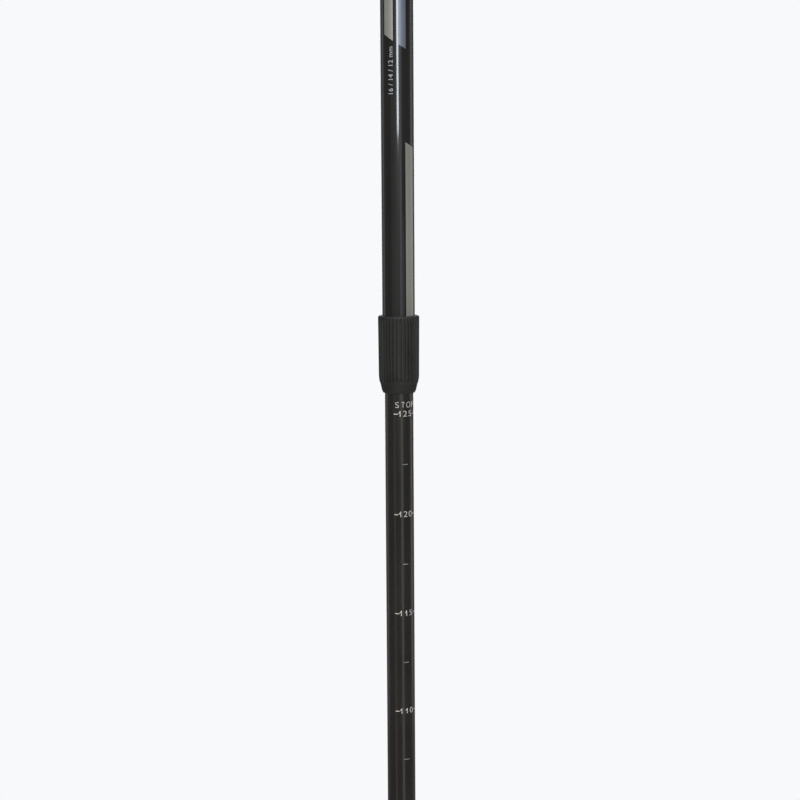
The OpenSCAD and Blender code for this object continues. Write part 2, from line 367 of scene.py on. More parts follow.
class Wiring:
    """A material under construction: its node tree, its shader and short ways to add to them."""

    def __init__(self, name: str) -> None:
        """Starts a material.

        Args:
            name: the material's name.
        """
        self.material = bpy.data.materials.new(name)
        self.material.use_nodes = True
        self.tree = self.material.node_tree
        self.shader = next(n for n in self.tree.nodes if n.type == "BSDF_PRINCIPLED")

    def add(self, kind: str, inputs: dict[str | int, Any], **settings: Any) -> bpy.types.Node:
        """Adds a node.

        Args:
            kind: the node's type name.
            inputs: a value, or another node's output, for each named or numbered input.
            settings: the node's own properties.

        Returns:
            The new node.
        """
        node = self.tree.nodes.new(kind)
        for name, value in settings.items():
            setattr(node, name, value)
        for key, value in inputs.items():
            self.put(node.inputs[key], value)
        return node

    def put(self, socket: bpy.types.NodeSocket, value: Any) -> None:
        """Links an output to a socket, or sets the socket's own value.

        Args:
            socket: the input to fill.
            value: another node's output, or a plain value.
        """
        if isinstance(value, bpy.types.NodeSocket):
            self.tree.links.new(value, socket)
        else:
            socket.default_value = value

    def math(self, operation: str, *values: Any) -> bpy.types.NodeSocket:
        """Result of a Math node on numbers or outputs."""
        return self.add("ShaderNodeMath", dict(enumerate(values)), operation=operation).outputs[0]

    def scaled(self, size: tuple[float, float, float], source: str = "Object") -> bpy.types.NodeSocket:
        """Scales a piece's coordinates.

        Args:
            size: millimetres that become one unit along each axis.
            source: which coordinates to scale.

        Returns:
            The scaled coordinates.
        """
        coordinates = self.add("ShaderNodeTexCoord", {}).outputs[source]
        scale = tuple(1.0 / (s * MM) for s in size)
        return self.add("ShaderNodeMapping", {"Vector": coordinates, "Scale": scale}).outputs[0]

    def noise(self, size: tuple[float, float, float], detail: float = 3.0) -> bpy.types.NodeSocket:
        """Cloudy pattern of 0..1 whose patches are `size` millimetres."""
        inputs = {"Vector": self.scaled(size), "Scale": 1.0, "Detail": detail}
        return self.add("ShaderNodeTexNoise", inputs).outputs[0]

    def ranged(
        self, value: Any, low: float, high: float, out: tuple[float, float] = (0.0, 1.0)
    ) -> bpy.types.NodeSocket:
        """A value mapped from low..high to the range `out`, and held inside it."""
        inputs = {"Value": value, "From Min": low, "From Max": high, "To Min": out[0], "To Max": out[1]}
        return self.add("ShaderNodeMapRange", inputs).outputs[0]

    def mixed(self, amount: Any, first: Any, second: Any) -> bpy.types.NodeSocket:
        """Blends two colours.

        Args:
            amount: 0 where the first colour shows, and 1 where the second does.
            first, second: the colours, or outputs that give them.

        Returns:
            The blended colour.
        """
        colours = [c if isinstance(c, bpy.types.NodeSocket) else (*c, 1.0) for c in (first, second)]
        node = self.add("ShaderNodeMix", {0: amount, 6: colours[0], 7: colours[1]}, data_type="RGBA")
        return node.outputs[2]


@dataclass(frozen=True)
class Finish:
    """One surface finish of the pole: its colours, its gloss, and the relief of its grain.

    dark and light are the two base colours that cloudy patches of patch_size blend between, rough
    is the range of roughness, grain_size the size of the grain in millimetres and relief its
    height. Cells and weave get painted shade in the hollows of their relief. The crest colour is a
    lighter colour laid in patches on rib crests, on a piece that has the crest weight attribute.
    """

    name: str
    slot: str
    dark: Colour
    light: Colour
    rough: tuple[float, float]
    grain: Grain
    grain_size: float
    relief: float
    patch_size: float = 9.0
    metallic: float = 0.0
    specular: float = 0.5
    coat: float = 0.0
    coat_roughness: float = 0.1
    sheen: float = 0.0
    worn: Colour | None = None

    def material(self) -> bpy.types.Material:
        """The finish's material, made on first use."""
        found = bpy.data.materials.get(self.name)
        return found if found else self._make()

    def _make(self) -> bpy.types.Material:
        """Builds the node tree.

        Returns:
            The new material.
        """
        hollow_shade, crest_share = 0.45, 0.5
        w = Wiring(self.name)
        relief = self._relief(w)
        patches = w.noise((self.patch_size,) * 3)
        colour = w.mixed(w.ranged(patches, 0.35, 0.65), self.dark, self.light)
        # Painted shade: in cells and weave the hollows of the relief take a darker copy of the dark colour.
        if self.grain in (Grain.WOVEN, Grain.CELLS):
            shade = tuple(c * hollow_shade for c in self.dark)
            colour = w.mixed(w.ranged(relief, 0.0, 0.5), shade, colour)
        # Rib crests are lightened in patches towards the finish's crest colour, by the per-point crest
        # weight.
        if self.worn:
            wear = w.add("ShaderNodeAttribute", {}, attribute_name="wear").outputs["Fac"]
            crest_amount = w.math("MULTIPLY", wear, crest_share)
            amount = w.math("MULTIPLY", crest_amount, w.ranged(patches, 0.4, 0.7, (0.3, 1.0)))
            colour = w.mixed(amount, colour, self.worn)
        fine = w.noise((self.grain_size * 4,) * 3, 2.0)
        w.put(w.shader.inputs["Base Color"], colour)
        w.put(w.shader.inputs["Roughness"], w.ranged(w.math("ADD", patches, fine), 0.7, 1.3, self.rough))
        bump = w.add("ShaderNodeBump", {"Height": relief, "Distance": self.relief * MM, "Strength": 1.0})
        w.put(w.shader.inputs["Normal"], bump.outputs[0])
        w.shader.inputs["Metallic"].default_value = self.metallic
        w.shader.inputs["Specular IOR Level"].default_value = self.specular
        w.shader.inputs["Coat Weight"].default_value = self.coat
        w.shader.inputs["Coat Roughness"].default_value = self.coat_roughness
        w.shader.inputs["Sheen Weight"].default_value = self.sheen
        w.shader.inputs["Sheen Roughness"].default_value = 0.4
        return w.material

    def _relief(self, w: Wiring) -> bpy.types.NodeSocket:
        """Makes the grain.

        Args:
            w: the material's wiring.

        Returns:
            Height of the grain, 0..1.
        """
        g, line_length, ring_width = self.grain_size, 150.0, 60.0
        if self.grain is Grain.DRAWN:
            return w.noise((g, g, g * line_length), 2.0)
        if self.grain is Grain.TURNED:
            return w.noise((g * ring_width, g * ring_width, g), 2.0)
        if self.grain is Grain.CELLS:
            inputs = {"Vector": w.scaled((g, g, g)), "Scale": 1.0}
            return w.ranged(w.add("ShaderNodeTexVoronoi", inputs).outputs[0], 0.1, 0.7)
        if self.grain is Grain.WOVEN:
            return self._weave(w)
        return w.noise((g, g, g), 4.0)

    def _weave(self, w: Wiring) -> bpy.types.NodeSocket:
        """Twill: |sin| ribs across the width, broken by a slanting sine along the length.

        Args:
            w: the material's wiring.

        Returns:
            Height of the yarns, 0..1.
        """
        split = w.add("ShaderNodeSeparateXYZ", {0: w.scaled((self.grain_size,) * 3, "UV")})
        across, along = split.outputs[0], split.outputs[1]
        ribs = w.math("ABSOLUTE", w.math("SINE", w.math("MULTIPLY", across, math.pi)))
        slant = w.math("ADD", along, w.math("MULTIPLY", w.math("PINGPONG", across, 4.0), 0.5))
        floats = w.ranged(w.math("SINE", w.math("MULTIPLY", slant, 2.0 * math.pi)), -1.0, 1.0, (0.25, 1.0))
        return w.math("MULTIPLY", ribs, floats)


LACQUER = Finish(
    "gloss_black_lacquer", "gloss_lacquer", (0.0082, 0.0073, 0.0067), (0.0102, 0.0092, 0.0085),
    (0.34, 0.44), Grain.DRAWN, 0.5, 0.0001, patch_size=22.0, specular=0.12, coat=0.9, coat_roughness=0.06,
)  # fmt: skip
ANODISED = Finish(
    "warm_black_anodised_tube", "black_anodised", (0.0096, 0.0080, 0.0058), (0.0122, 0.0102, 0.0076),
    (0.18, 0.27), Grain.DRAWN, 0.35, 0.0004, patch_size=16.0, specular=0.7,
)  # fmt: skip
COLLAR = Finish(
    "matte_black_collar", "collar_plastic", (0.0098, 0.0088, 0.0072), (0.0136, 0.0122, 0.0101),
    (0.56, 0.70), Grain.MOULDED, 0.22, 0.008, worn=(0.027, 0.0248, 0.021), specular=0.4,
)  # fmt: skip
HEAD = Finish(
    "grip_head_plastic", "grip_plastic", (0.014, 0.014, 0.015), (0.020, 0.020, 0.021),
    (0.46, 0.60), Grain.MOULDED, 0.35, 0.018,
)  # fmt: skip
TRIM = Finish(
    "grey_trim_plastic", "trim_plastic", (0.050, 0.054, 0.060), (0.070, 0.074, 0.081),
    (0.34, 0.46), Grain.MOULDED, 0.25, 0.006,
)  # fmt: skip
FOAM = Finish(
    "closed_cell_foam", "grip_foam", (0.011, 0.011, 0.012), (0.020, 0.020, 0.021),
    (0.82, 0.95), Grain.CELLS, 0.55, 0.10, patch_size=14.0, specular=0.3, sheen=0.15,
)  # fmt: skip
WEBBING = Finish(
    "woven_webbing", "webbing", (0.022, 0.023, 0.026), (0.034, 0.035, 0.039),
    (0.72, 0.86), Grain.WOVEN, 0.9, 0.16, patch_size=18.0, specular=0.3, sheen=0.35,
)  # fmt: skip
LINING = Finish(
    "padded_lining_cloth", "lining_cloth", (0.120, 0.125, 0.135), (0.165, 0.170, 0.180),
    (0.86, 0.96), Grain.WOVEN, 0.7, 0.10, patch_size=12.0, specular=0.2, sheen=0.5,
)  # fmt: skip
THREAD = Finish(
    "sewing_thread", "webbing", (0.22, 0.22, 0.23), (0.30, 0.30, 0.31),
    (0.55, 0.70), Grain.MOULDED, 0.15, 0.02, sheen=0.4,
)  # fmt: skip
NYLON = Finish(
    "natural_nylon", "nylon", (0.62, 0.59, 0.50), (0.72, 0.69, 0.60),
    (0.38, 0.50), Grain.MOULDED, 0.4, 0.006,
)  # fmt: skip
RED_NYLON = Finish(
    "red_nylon", "red_nylon", (0.28, 0.020, 0.015), (0.36, 0.030, 0.022),
    (0.36, 0.48), Grain.MOULDED, 0.4, 0.006,
)  # fmt: skip
STEEL = Finish(
    "plated_steel", "plated_steel", (0.36, 0.36, 0.37), (0.46, 0.46, 0.46),
    (0.22, 0.36), Grain.TURNED, 0.08, 0.003, metallic=1.0,
)  # fmt: skip
CARBIDE = Finish(
    "ground_carbide", "carbide", (0.16, 0.16, 0.165), (0.24, 0.24, 0.245),
    (0.34, 0.50), Grain.MOULDED, 0.2, 0.010, patch_size=1.5, metallic=1.0,
)  # fmt: skip
TIP_PLASTIC = Finish(
    "tip_and_basket_plastic", "tip_plastic", (0.014, 0.014, 0.0145), (0.022, 0.022, 0.022),
    (0.42, 0.58), Grain.MOULDED, 0.3, 0.012, worn=(0.05, 0.05, 0.05),
)  # fmt: skip
SILVER_INK = Finish(
    "silver_grey_stripe", "gloss_lacquer", (0.370, 0.360, 0.316), (0.405, 0.394, 0.346),
    (0.48, 0.54), Grain.DRAWN, 0.3, 0.0002, patch_size=30.0, metallic=0.62, coat=0.5, coat_roughness=0.12,
)  # fmt: skip
# Painted shade: the same silver ink made darker for the right stripe, standing in for the lesser light that
# falls on it.
PAINTED_SHADE_SILVER_INK = replace(
    SILVER_INK, name="painted_shade_silver_stripe", dark=(0.315, 0.306, 0.266), light=(0.345, 0.335, 0.292),
)  # fmt: skip
BLUE_INK = Finish(
    "blue_grey_stripe", "gloss_lacquer", (0.140, 0.158, 0.191), (0.156, 0.176, 0.212),
    (0.42, 0.48), Grain.DRAWN, 0.3, 0.0002, patch_size=30.0, metallic=0.5, coat=0.6, coat_roughness=0.08,
)  # fmt: skip
GREY_INK = Finish(
    "small_grey_print", "gloss_lacquer", (0.33, 0.36, 0.36), (0.40, 0.43, 0.43),
    (0.5, 0.6), Grain.MOULDED, 0.3, 0.002,
)  # fmt: skip
CREAM_INK = Finish(
    "cream_scale_print", "black_anodised", (0.55, 0.505, 0.45), (0.65, 0.60, 0.535),
    (0.5, 0.62), Grain.MOULDED, 0.3, 0.003, patch_size=1.2,
)  # fmt: skip


# ---- Making pieces ----


def build_mesh(name: str, surfaces: Sequence[Surface], crease: float = CREASE) -> bpy.types.Mesh:
    """Joins surfaces into one mesh in metres, with poles and seams closed and faces outwards.

    Args:
        name: the mesh's name.
        surfaces: what it is made of.
        crease: angle in degrees above which an edge stays sharp.

    Returns:
        The mesh.
    """
    counts = np.cumsum([0] + [s.points.shape[0] * s.points.shape[1] for s in surfaces])
    points = np.concatenate([s.points.reshape(-1, 3) for s in surfaces]) * MM
    faces = [face for s, first in zip(surfaces, counts) for face in s.faces(int(first))]
    mesh = bpy.data.meshes.new(name)
    mesh.from_pydata(points, [], faces)
    if any(s.uv is not None for s in surfaces):
        corner_uv = np.concatenate([s.corner_uv() for s in surfaces]) * MM
        mesh.uv_layers.new(name="cloth").data.foreach_set("uv", corner_uv.ravel())
    if any(s.wear is not None for s in surfaces):
        wear = [np.zeros(s.points.shape[:2]) if s.wear is None else s.wear for s in surfaces]
        layer = mesh.attributes.new("wear", "FLOAT", "POINT")
        layer.data.foreach_set("value", np.concatenate([x.ravel() for x in wear]))
    clean(mesh)
    mesh.shade_smooth()
    mesh.set_sharp_from_angle(angle=math.radians(crease))
    return mesh


def clean(mesh: bpy.types.Mesh) -> None:
    """Merges points that lie on each other, drops collapsed faces and turns faces outwards.

    Args:
        mesh: the mesh to clean, which is changed in place.
    """
    shape = bmesh.new()
    shape.from_mesh(mesh)
    bmesh.ops.remove_doubles(shape, verts=shape.verts, dist=MERGE_MM * MM)
    bmesh.ops.dissolve_degenerate(shape, edges=shape.edges, dist=MERGE_MM * MM / 4)
    bmesh.ops.recalc_face_normals(shape, faces=shape.faces)
    shape.to_mesh(mesh)
    shape.free()


def evaluated(source: bpy.types.Object) -> bpy.types.Mesh:
    """Turns an object into a plain mesh, and removes the object.

    Args:
        source: an object, with its modifiers.

    Returns:
        A mesh of what the object looked like.
    """
    bpy.context.view_layer.update()
    made = bpy.data.meshes.new_from_object(source.evaluated_get(bpy.context.evaluated_depsgraph_get()))
    bpy.data.objects.remove(source)
    return made


def linked(name: str, data: Any) -> bpy.types.Object:
    """Puts some data in the scene.

    Args:
        name: the new object's name.
        data: a mesh, light, camera or curve.

    Returns:
        The new object.
    """
    made = bpy.data.objects.new(name, data)
    bpy.context.scene.collection.objects.link(made)
    return made


def carve(mesh: bpy.types.Mesh, cutters: Sequence[bpy.types.Mesh], crease: float) -> bpy.types.Mesh:
    """Cuts closed meshes out of a closed mesh.

    Args:
        mesh: what is cut.
        cutters: what is taken away.
        crease: angle in degrees above which an edge stays sharp.

    Returns:
        The carved mesh.
    """
    block = linked("block", mesh)
    tools = [linked("cutter", cutter) for cutter in cutters]
    for tool in tools:
        cut = block.modifiers.new("cut", "BOOLEAN")
        cut.object, cut.operation, cut.solver = tool, "DIFFERENCE", "EXACT"
    carved = evaluated(block)
    for tool in tools:
        bpy.data.objects.remove(tool)
    clean(carved)
    carved.shade_smooth()
    carved.set_sharp_from_angle(angle=math.radians(crease))
    return carved


@dataclass(frozen=True)
class Piece:
    """A finished piece's name, finish and body, the CAD nodes it stands for, and its edge rounding."""

    name: str
    finish: Finish
    body: str
    stands_for: tuple[str, ...] = ()
    crease: float = CREASE
    edge: float = 0.0

    def make(self, surfaces: Sequence[Surface]) -> bpy.types.Object:
        """Puts the piece in the scene from its surfaces."""
        return self.place(build_mesh(self.name, surfaces, self.crease))

    def place(self, mesh: bpy.types.Mesh) -> bpy.types.Object:
        """Puts a mesh in the scene as this piece, dressed and riding on its body.

        Args:
            mesh: the piece's mesh.

        Returns:
            The piece's object.
        """
        piece = linked(self.name, mesh)
        mesh.name = self.name
        mesh.materials.clear()
        mesh.materials.append(self.finish.material())
        if self.edge:
            bevel = piece.modifiers.new("rounded edges", "BEVEL")
            bevel.width, bevel.segments, bevel.limit_method = self.edge * MM, 3, "ANGLE"
            bevel.angle_limit = math.radians(self.crease)
        piece.modifiers.new("even shading", "WEIGHTED_NORMAL").keep_sharp = True
        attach(piece, self.body)
        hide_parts(*self.stands_for)
        log.info("%s: %d faces, on %s", self.name, len(mesh.polygons), self.body)
        return piece


def dress(node: str, finish: Finish) -> None:
    """Gives a CAD node that is shown as it is a proper material.

    Args:
        node: the node's name.
        finish: what it is dressed in.
    """
    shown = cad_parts[node]
    shown.data.materials.clear()
    shown.data.materials.append(finish.material())
    log.info("%s: the frame's own shape, %s", node, finish.name)


# ---- Tubes and their print ----


@dataclass(frozen=True)
class Tube:
    """A drawn tube with softened ends, as long and as wide as its CAD node."""

    node: str
    body: str
    finish: Finish
    wall: float = 0.8
    segments: int = 160
    ring_pitch: float = 24.0

    @property
    def radius(self) -> float:
        """Outside radius of the tube."""
        return box_of(self.node).reach

    def build(self) -> None:
        """Makes the tube's wall as one closed turned shape."""
        node, outer, inner = box_of(self.node), self.radius, self.radius - self.wall
        low, high = node.bottom, node.top
        corners = [(outer, low, 0.3), (outer, high, 0.35), (inner, high, 0.25), (inner, low, 0.25)]
        skin = revolve(split_long(rounded(corners), self.ring_pitch), self.segments)
        Piece(f"{self.node}_shell", self.finish, self.body, (self.node,)).make([skin])


@dataclass(frozen=True)
class Lettering:
    """Small print that is wrapped on a tube.

    upright print reads round the tube, and other print reads up along it. stretch widens it.
    """

    text: str
    cap_height: float
    weight: float = 0.0
    spacing: float = 1.0
    stretch: float = 1.0
    upright: bool = True

    def on_tube(self, radius: float, angle: float, height: float) -> bpy.types.Mesh:
        """The letters as a closed mesh on a tube.

        A flat point (x, y) goes to the angle x / radius from the print's middle and to the height y.

        Args:
            radius: the tube's radius.
            angle: angle of the print's middle.
            height: height of the print's middle.

        Returns:
            The wrapped mesh, in metres.
        """
        proud, strip = 0.035, 0.35
        mesh = self._flat()
        shape = bmesh.new()
        shape.from_mesh(mesh)
        bmesh.ops.scale(shape, verts=shape.verts, vec=(self.stretch, 1.0, 1.0))
        if not self.upright:
            bmesh.ops.rotate(shape, verts=shape.verts, matrix=Matrix.Rotation(math.pi / 2, 3, "Z"))
        reach = max(abs(v.co.x) for v in shape.verts)
        for x in np.arange(-reach, reach, strip):
            whole = shape.verts[:] + shape.edges[:] + shape.faces[:]
            bmesh.ops.bisect_plane(shape, geom=whole, plane_co=(x, 0, 0), plane_no=(1, 0, 0))
        shape.to_mesh(mesh)
        shape.free()
        flat = np.empty(3 * len(mesh.vertices))
        mesh.vertices.foreach_get("co", flat)
        flat = flat.reshape(-1, 3)
        turn = math.radians(angle) + flat[:, 0] / radius
        wrapped = around(radius + flat[:, 2] * proud, turn, height + flat[:, 1])
        mesh.vertices.foreach_set("co", (wrapped * MM).ravel())
        clean(mesh)
        mesh.set_sharp_from_angle(angle=math.radians(38))
        return mesh

    def _flat(self) -> bpy.types.Mesh:
        """Sets the letters flat about the origin, one unit thick above and below it.

        Returns:
            The flat mesh, in millimetres. font_cap is the font's own height of a capital.
        """
        font_cap = 0.682
        curve = bpy.data.curves.new("print", "FONT")
        curve.body, curve.size = self.text, self.cap_height / font_cap
        curve.align_x, curve.align_y = "CENTER", "CENTER"
        curve.offset, curve.space_character, curve.extrude = self.weight, self.spacing, 1.0
        curve.resolution_u = 4
        return evaluated(linked("print", curve))


def merge_meshes(name: str, meshes: Sequence[bpy.types.Mesh]) -> bpy.types.Mesh:
    """Joins meshes, and removes them.

    Args:
        name: the new mesh's name.
        meshes: what it is made of.

    Returns:
        One mesh that holds them all.
    """
    joined = bmesh.new()
    for mesh in meshes:
        joined.from_mesh(mesh)
        bpy.data.meshes.remove(mesh)
    whole = bpy.data.meshes.new(name)
    joined.to_mesh(whole)
    joined.free()
    return whole


@dataclass(frozen=True)
class Stripes:
    """Three slanted printed stripes and a line of small print on the top tube.

    first_mark is the height of the length scale's first number, and the stripes' ends are given
    as heights above it. top is the height at which the upper stripes end under the grip.
    """

    tube: Tube
    first_mark: float
    top: float = 1014.0

    def build(self) -> None:
        """Prints the stripes and the sizes of the three tubes."""
        base, top, r = self.first_mark, self.top, self.tube.radius
        in_collar = box_of("upper_collar").top - 1.0
        # Name, ink, left and right angle, and the heights of the lower and of the upper end.
        plan = [
            ("left_stripe", SILVER_INK, -47.5, -13.8, (base + 182.6, base + 179.3), (top + 3.0, top)),
            ("middle_stripe", BLUE_INK, 4.5, 31.4, (base + 177.6, base + 175.6), (top, top - 2.6)),
            # The right stripe is the silver ink darkened as painted shade.
            ("right_stripe", PAINTED_SHADE_SILVER_INK, 28.0, 64.0, (in_collar, in_collar), (base + 131.6, base + 129.1)),
        ]
        for name, ink, left, right, low, high in plan:
            Piece(name, ink, self.tube.body).make([film(r, left, right, low, high)])
        sizes = Lettering("16 / 14 / 12 mm", cap_height=2.25, weight=0.02, spacing=1.07, upright=False)
        Piece("tube_size_print", GREY_INK, self.tube.body).place(sizes.on_tube(r, -22.0, base + 165.3))


@dataclass(frozen=True)
class LengthScale:
    """Numbers every five centimetres down a tube, each between two dashes, with ticks between them.

    middle is the angle of the numbers' middle, and each character stands at its own angle: it is
    letter_pitch or digit_pitch from its neighbour, and a 1 stands one_aside further on. dashes are
    the angles of the two dashes' ends and tick_reach that of a tick's, all from the middle.
    """

    tube: Tube
    first_mark: float
    numbers: tuple[int, ...]
    middle: float = 24.3
    cap_height: float = 2.85
    stroke: float = 0.42
    mark_pitch: float = 50.0
    stop_rise: float = 4.35
    stop_aside: float = 3.4
    letter_pitch: float = 24.2
    digit_pitch: float = 22.8
    one_aside: float = 2.0
    dashes: tuple[tuple[float, float], ...] = ((-46.5, -30.5), (38.0, 53.0))
    tick_reach: float = 11.0

    def _places(self, text: str, middle: float, pitch: float) -> list[tuple[str, float]]:
        """Spreads a word's characters round the tube.

        Args:
            text: the characters.
            middle: angle of the word's middle.
            pitch: angle from one character to the next.

        Returns:
            Each character with its own angle.
        """
        centre, aside = (len(text) - 1) / 2, {"1": self.one_aside}
        return [(c, middle + (i - centre) * pitch + aside.get(c, 0.0)) for i, c in enumerate(text)]

    def _print(self, places: Sequence[tuple[str, float]], height: float) -> list[bpy.types.Mesh]:
        """Prints characters on the tube.

        Args:
            places: each character with its angle.
            height: height of their middle.

        Returns:
            One mesh for each character.
        """
        usual, narrow, weight = 1.2, {"T": 0.7, "O": 0.86}, -0.05
        meshes = []
        for character, angle in places:
            glyph = Lettering(character, self.cap_height, weight, stretch=narrow.get(character, usual))
            meshes.append(glyph.on_tube(self.tube.radius, angle, height))
        return meshes

    def _bar(self, left: float, right: float, height: float, stroke: float) -> Surface:
        """A level line of print between two angles from the middle."""
        ends = (height - stroke / 2,) * 2, (height + stroke / 2,) * 2
        return film(self.tube.radius, self.middle + left, self.middle + right, *ends)

    def _flag(self, angle: float, height: float) -> Surface:
        """Draws the slanted stroke at the top of a figure 1.

        Args:
            angle: angle at which the figure stands.
            height: height of the figure's middle.

        Returns:
            The stroke's film.
        """
        top, drop = height + self.cap_height / 2 - 0.06, 0.8
        under = top - self.stroke * 1.2
        return film(self.tube.radius, angle - 7.0, angle - 0.5, (under - drop, under), (top - drop, top))

    def build(self) -> None:
        """Prints the stop mark, the numbers and the ticks as one piece."""
        tick_stroke = self.stroke * 0.36
        places = self._places("STOP", self.middle + self.stop_aside, self.letter_pitch)
        meshes = self._print(places, self.first_mark + self.stop_rise)
        bars = []
        for i, number in enumerate(self.numbers):
            height = self.first_mark - i * self.mark_pitch
            places = self._places(str(number), self.middle, self.digit_pitch)
            meshes += self._print(places, height)
            bars += [self._flag(angle, height) for digit, angle in places if digit == "1"]
            bars += [self._bar(left, right, height, self.stroke) for left, right in self.dashes]
            tick = height - self.mark_pitch / 2
            bars.append(self._bar(-self.tick_reach, self.tick_reach, tick, tick_stroke))
        if bars:
            meshes.append(build_mesh("bars", bars))
        name = f"{self.tube.node}_scale"
        Piece(name, CREAM_INK, self.tube.body).place(merge_meshes(name, meshes))


# ---- Locks ----


@dataclass(frozen=True)
class Collar:
    """A moulded collar whose ribs follow its body and shoulder and stop at a smooth nose.

    slide_radius is that of the tube that slides through it, and seat_radius that of the tube it
    is fixed on. bush_low and bush_high are the ends of the guide bush's pocket, above the collar's
    bottom edge.
    """

    node: str
    body: str
    slide_radius: float
    seat_radius: float
    wall: float = 2.15
    groove_count: int = 33
    groove_depth: float = 0.5
    groove_share: float = 0.42
    nose_height: float = 4.5
    bush_low: float = 3.0
    bush_high: float = 6.7

    def _outline(self, height: float) -> np.ndarray:
        """Draws the collar's wall.

        Args:
            height: height of the collar.

        Returns:
            (radius, height above the bottom edge) points.
        """
        nose, low, high = self.nose_height, self.bush_low, self.bush_high
        bore, pocket = self.slide_radius + 0.2, self.slide_radius + 0.8
        seat, full = self.seat_radius, self.seat_radius + self.wall
        corners = [
            (bore, 0.0, 0.25), (seat - 0.15, 0.0, 0.5), (seat + 0.45, 1.5, 0.5),
            (full - 1.1, nose - 0.2, 0.3), (full - 0.64, nose + 0.9, 0.5), (full - 0.26, nose + 3.2, 1.6),
            (full - 0.04, height, 1.4), (seat + FIT, height, 0.2), (seat + FIT, high, 0.1),
            (pocket, high, 0.0), (pocket, low, 0.1), (bore, low, 0.1),
        ]  # fmt: skip
        return split_long(rounded(corners, steps=7), 1.2)

    def build(self) -> None:
        """Makes the ribbed wall.

        r = outline - depth * groove(angle) * ease(height): the groove is a soft-edged notch, and
        the ease brings it in above the nose and out below the top edge.
        """
        node = box_of(self.node)
        height = node.top - node.bottom
        radius, z = self._outline(height).T
        per_groove, flank, rim = 14, 0.09, 0.7
        turn = np.arange(self.groove_count * per_groove) / per_groove
        off_centre = np.abs(turn % 1.0 - 0.5)
        groove = smooth_step((self.groove_share / 2 + flank / 2 - off_centre) / flank)
        outside = radius > self.seat_radius + 0.6
        ease = smooth_step((z - self.nose_height - 0.1) / 1.6) * smooth_step(height - rim - z) * outside
        notch = groove[:, None] * ease[None, :]
        angle = 2.0 * math.pi * turn[:, None] / self.groove_count
        points = around(radius[None, :] - self.groove_depth * notch, angle, z[None, :] + node.low[2])
        # Crest weight: 1 on the ribs, falling to 0 in the grooves; 0 on the nose, the top edge and the
        # inside.
        wear = (1.0 - notch) * (ease > 0.0)[None, :]
        skin = Surface(points, wrap_rows=True, wear=wear)
        Piece(f"{self.node}_ribbed", COLLAR, self.body, (self.node,), crease=50.0).make([skin])


@dataclass(frozen=True)
class TwistLock:
    """The screw lock at a tube's top end: plug, threaded stud, slit sleeve, cone nut and stop nut.

    place names the lock and tube_place the tube that it locks, which is also the stud's body.
    """

    place: str
    tube_place: str
    pitch: float
    depth_share: float = 0.55

    def build(self) -> None:
        """Dresses the moulded parts and cuts a real thread on the stud."""
        dress(f"{self.place}_guide_bush", NYLON)
        dress(f"{self.place}_expander_sleeve", NYLON)
        dress(f"{self.place}_cone_nut", RED_NYLON)
        dress(f"{self.tube_place}_plug", NYLON)
        dress(f"{self.tube_place}_stop_nut", STEEL)
        node = f"{self.tube_place}_stud"
        stud = box_of(node)
        rod = threaded(stud.reach, self.pitch, self.depth_share * self.pitch, stud.bottom, stud.top)
        Piece(f"{node}_threaded", STEEL, self.tube_place, (node,), crease=80.0).make([rod])


# ---- Grip ----


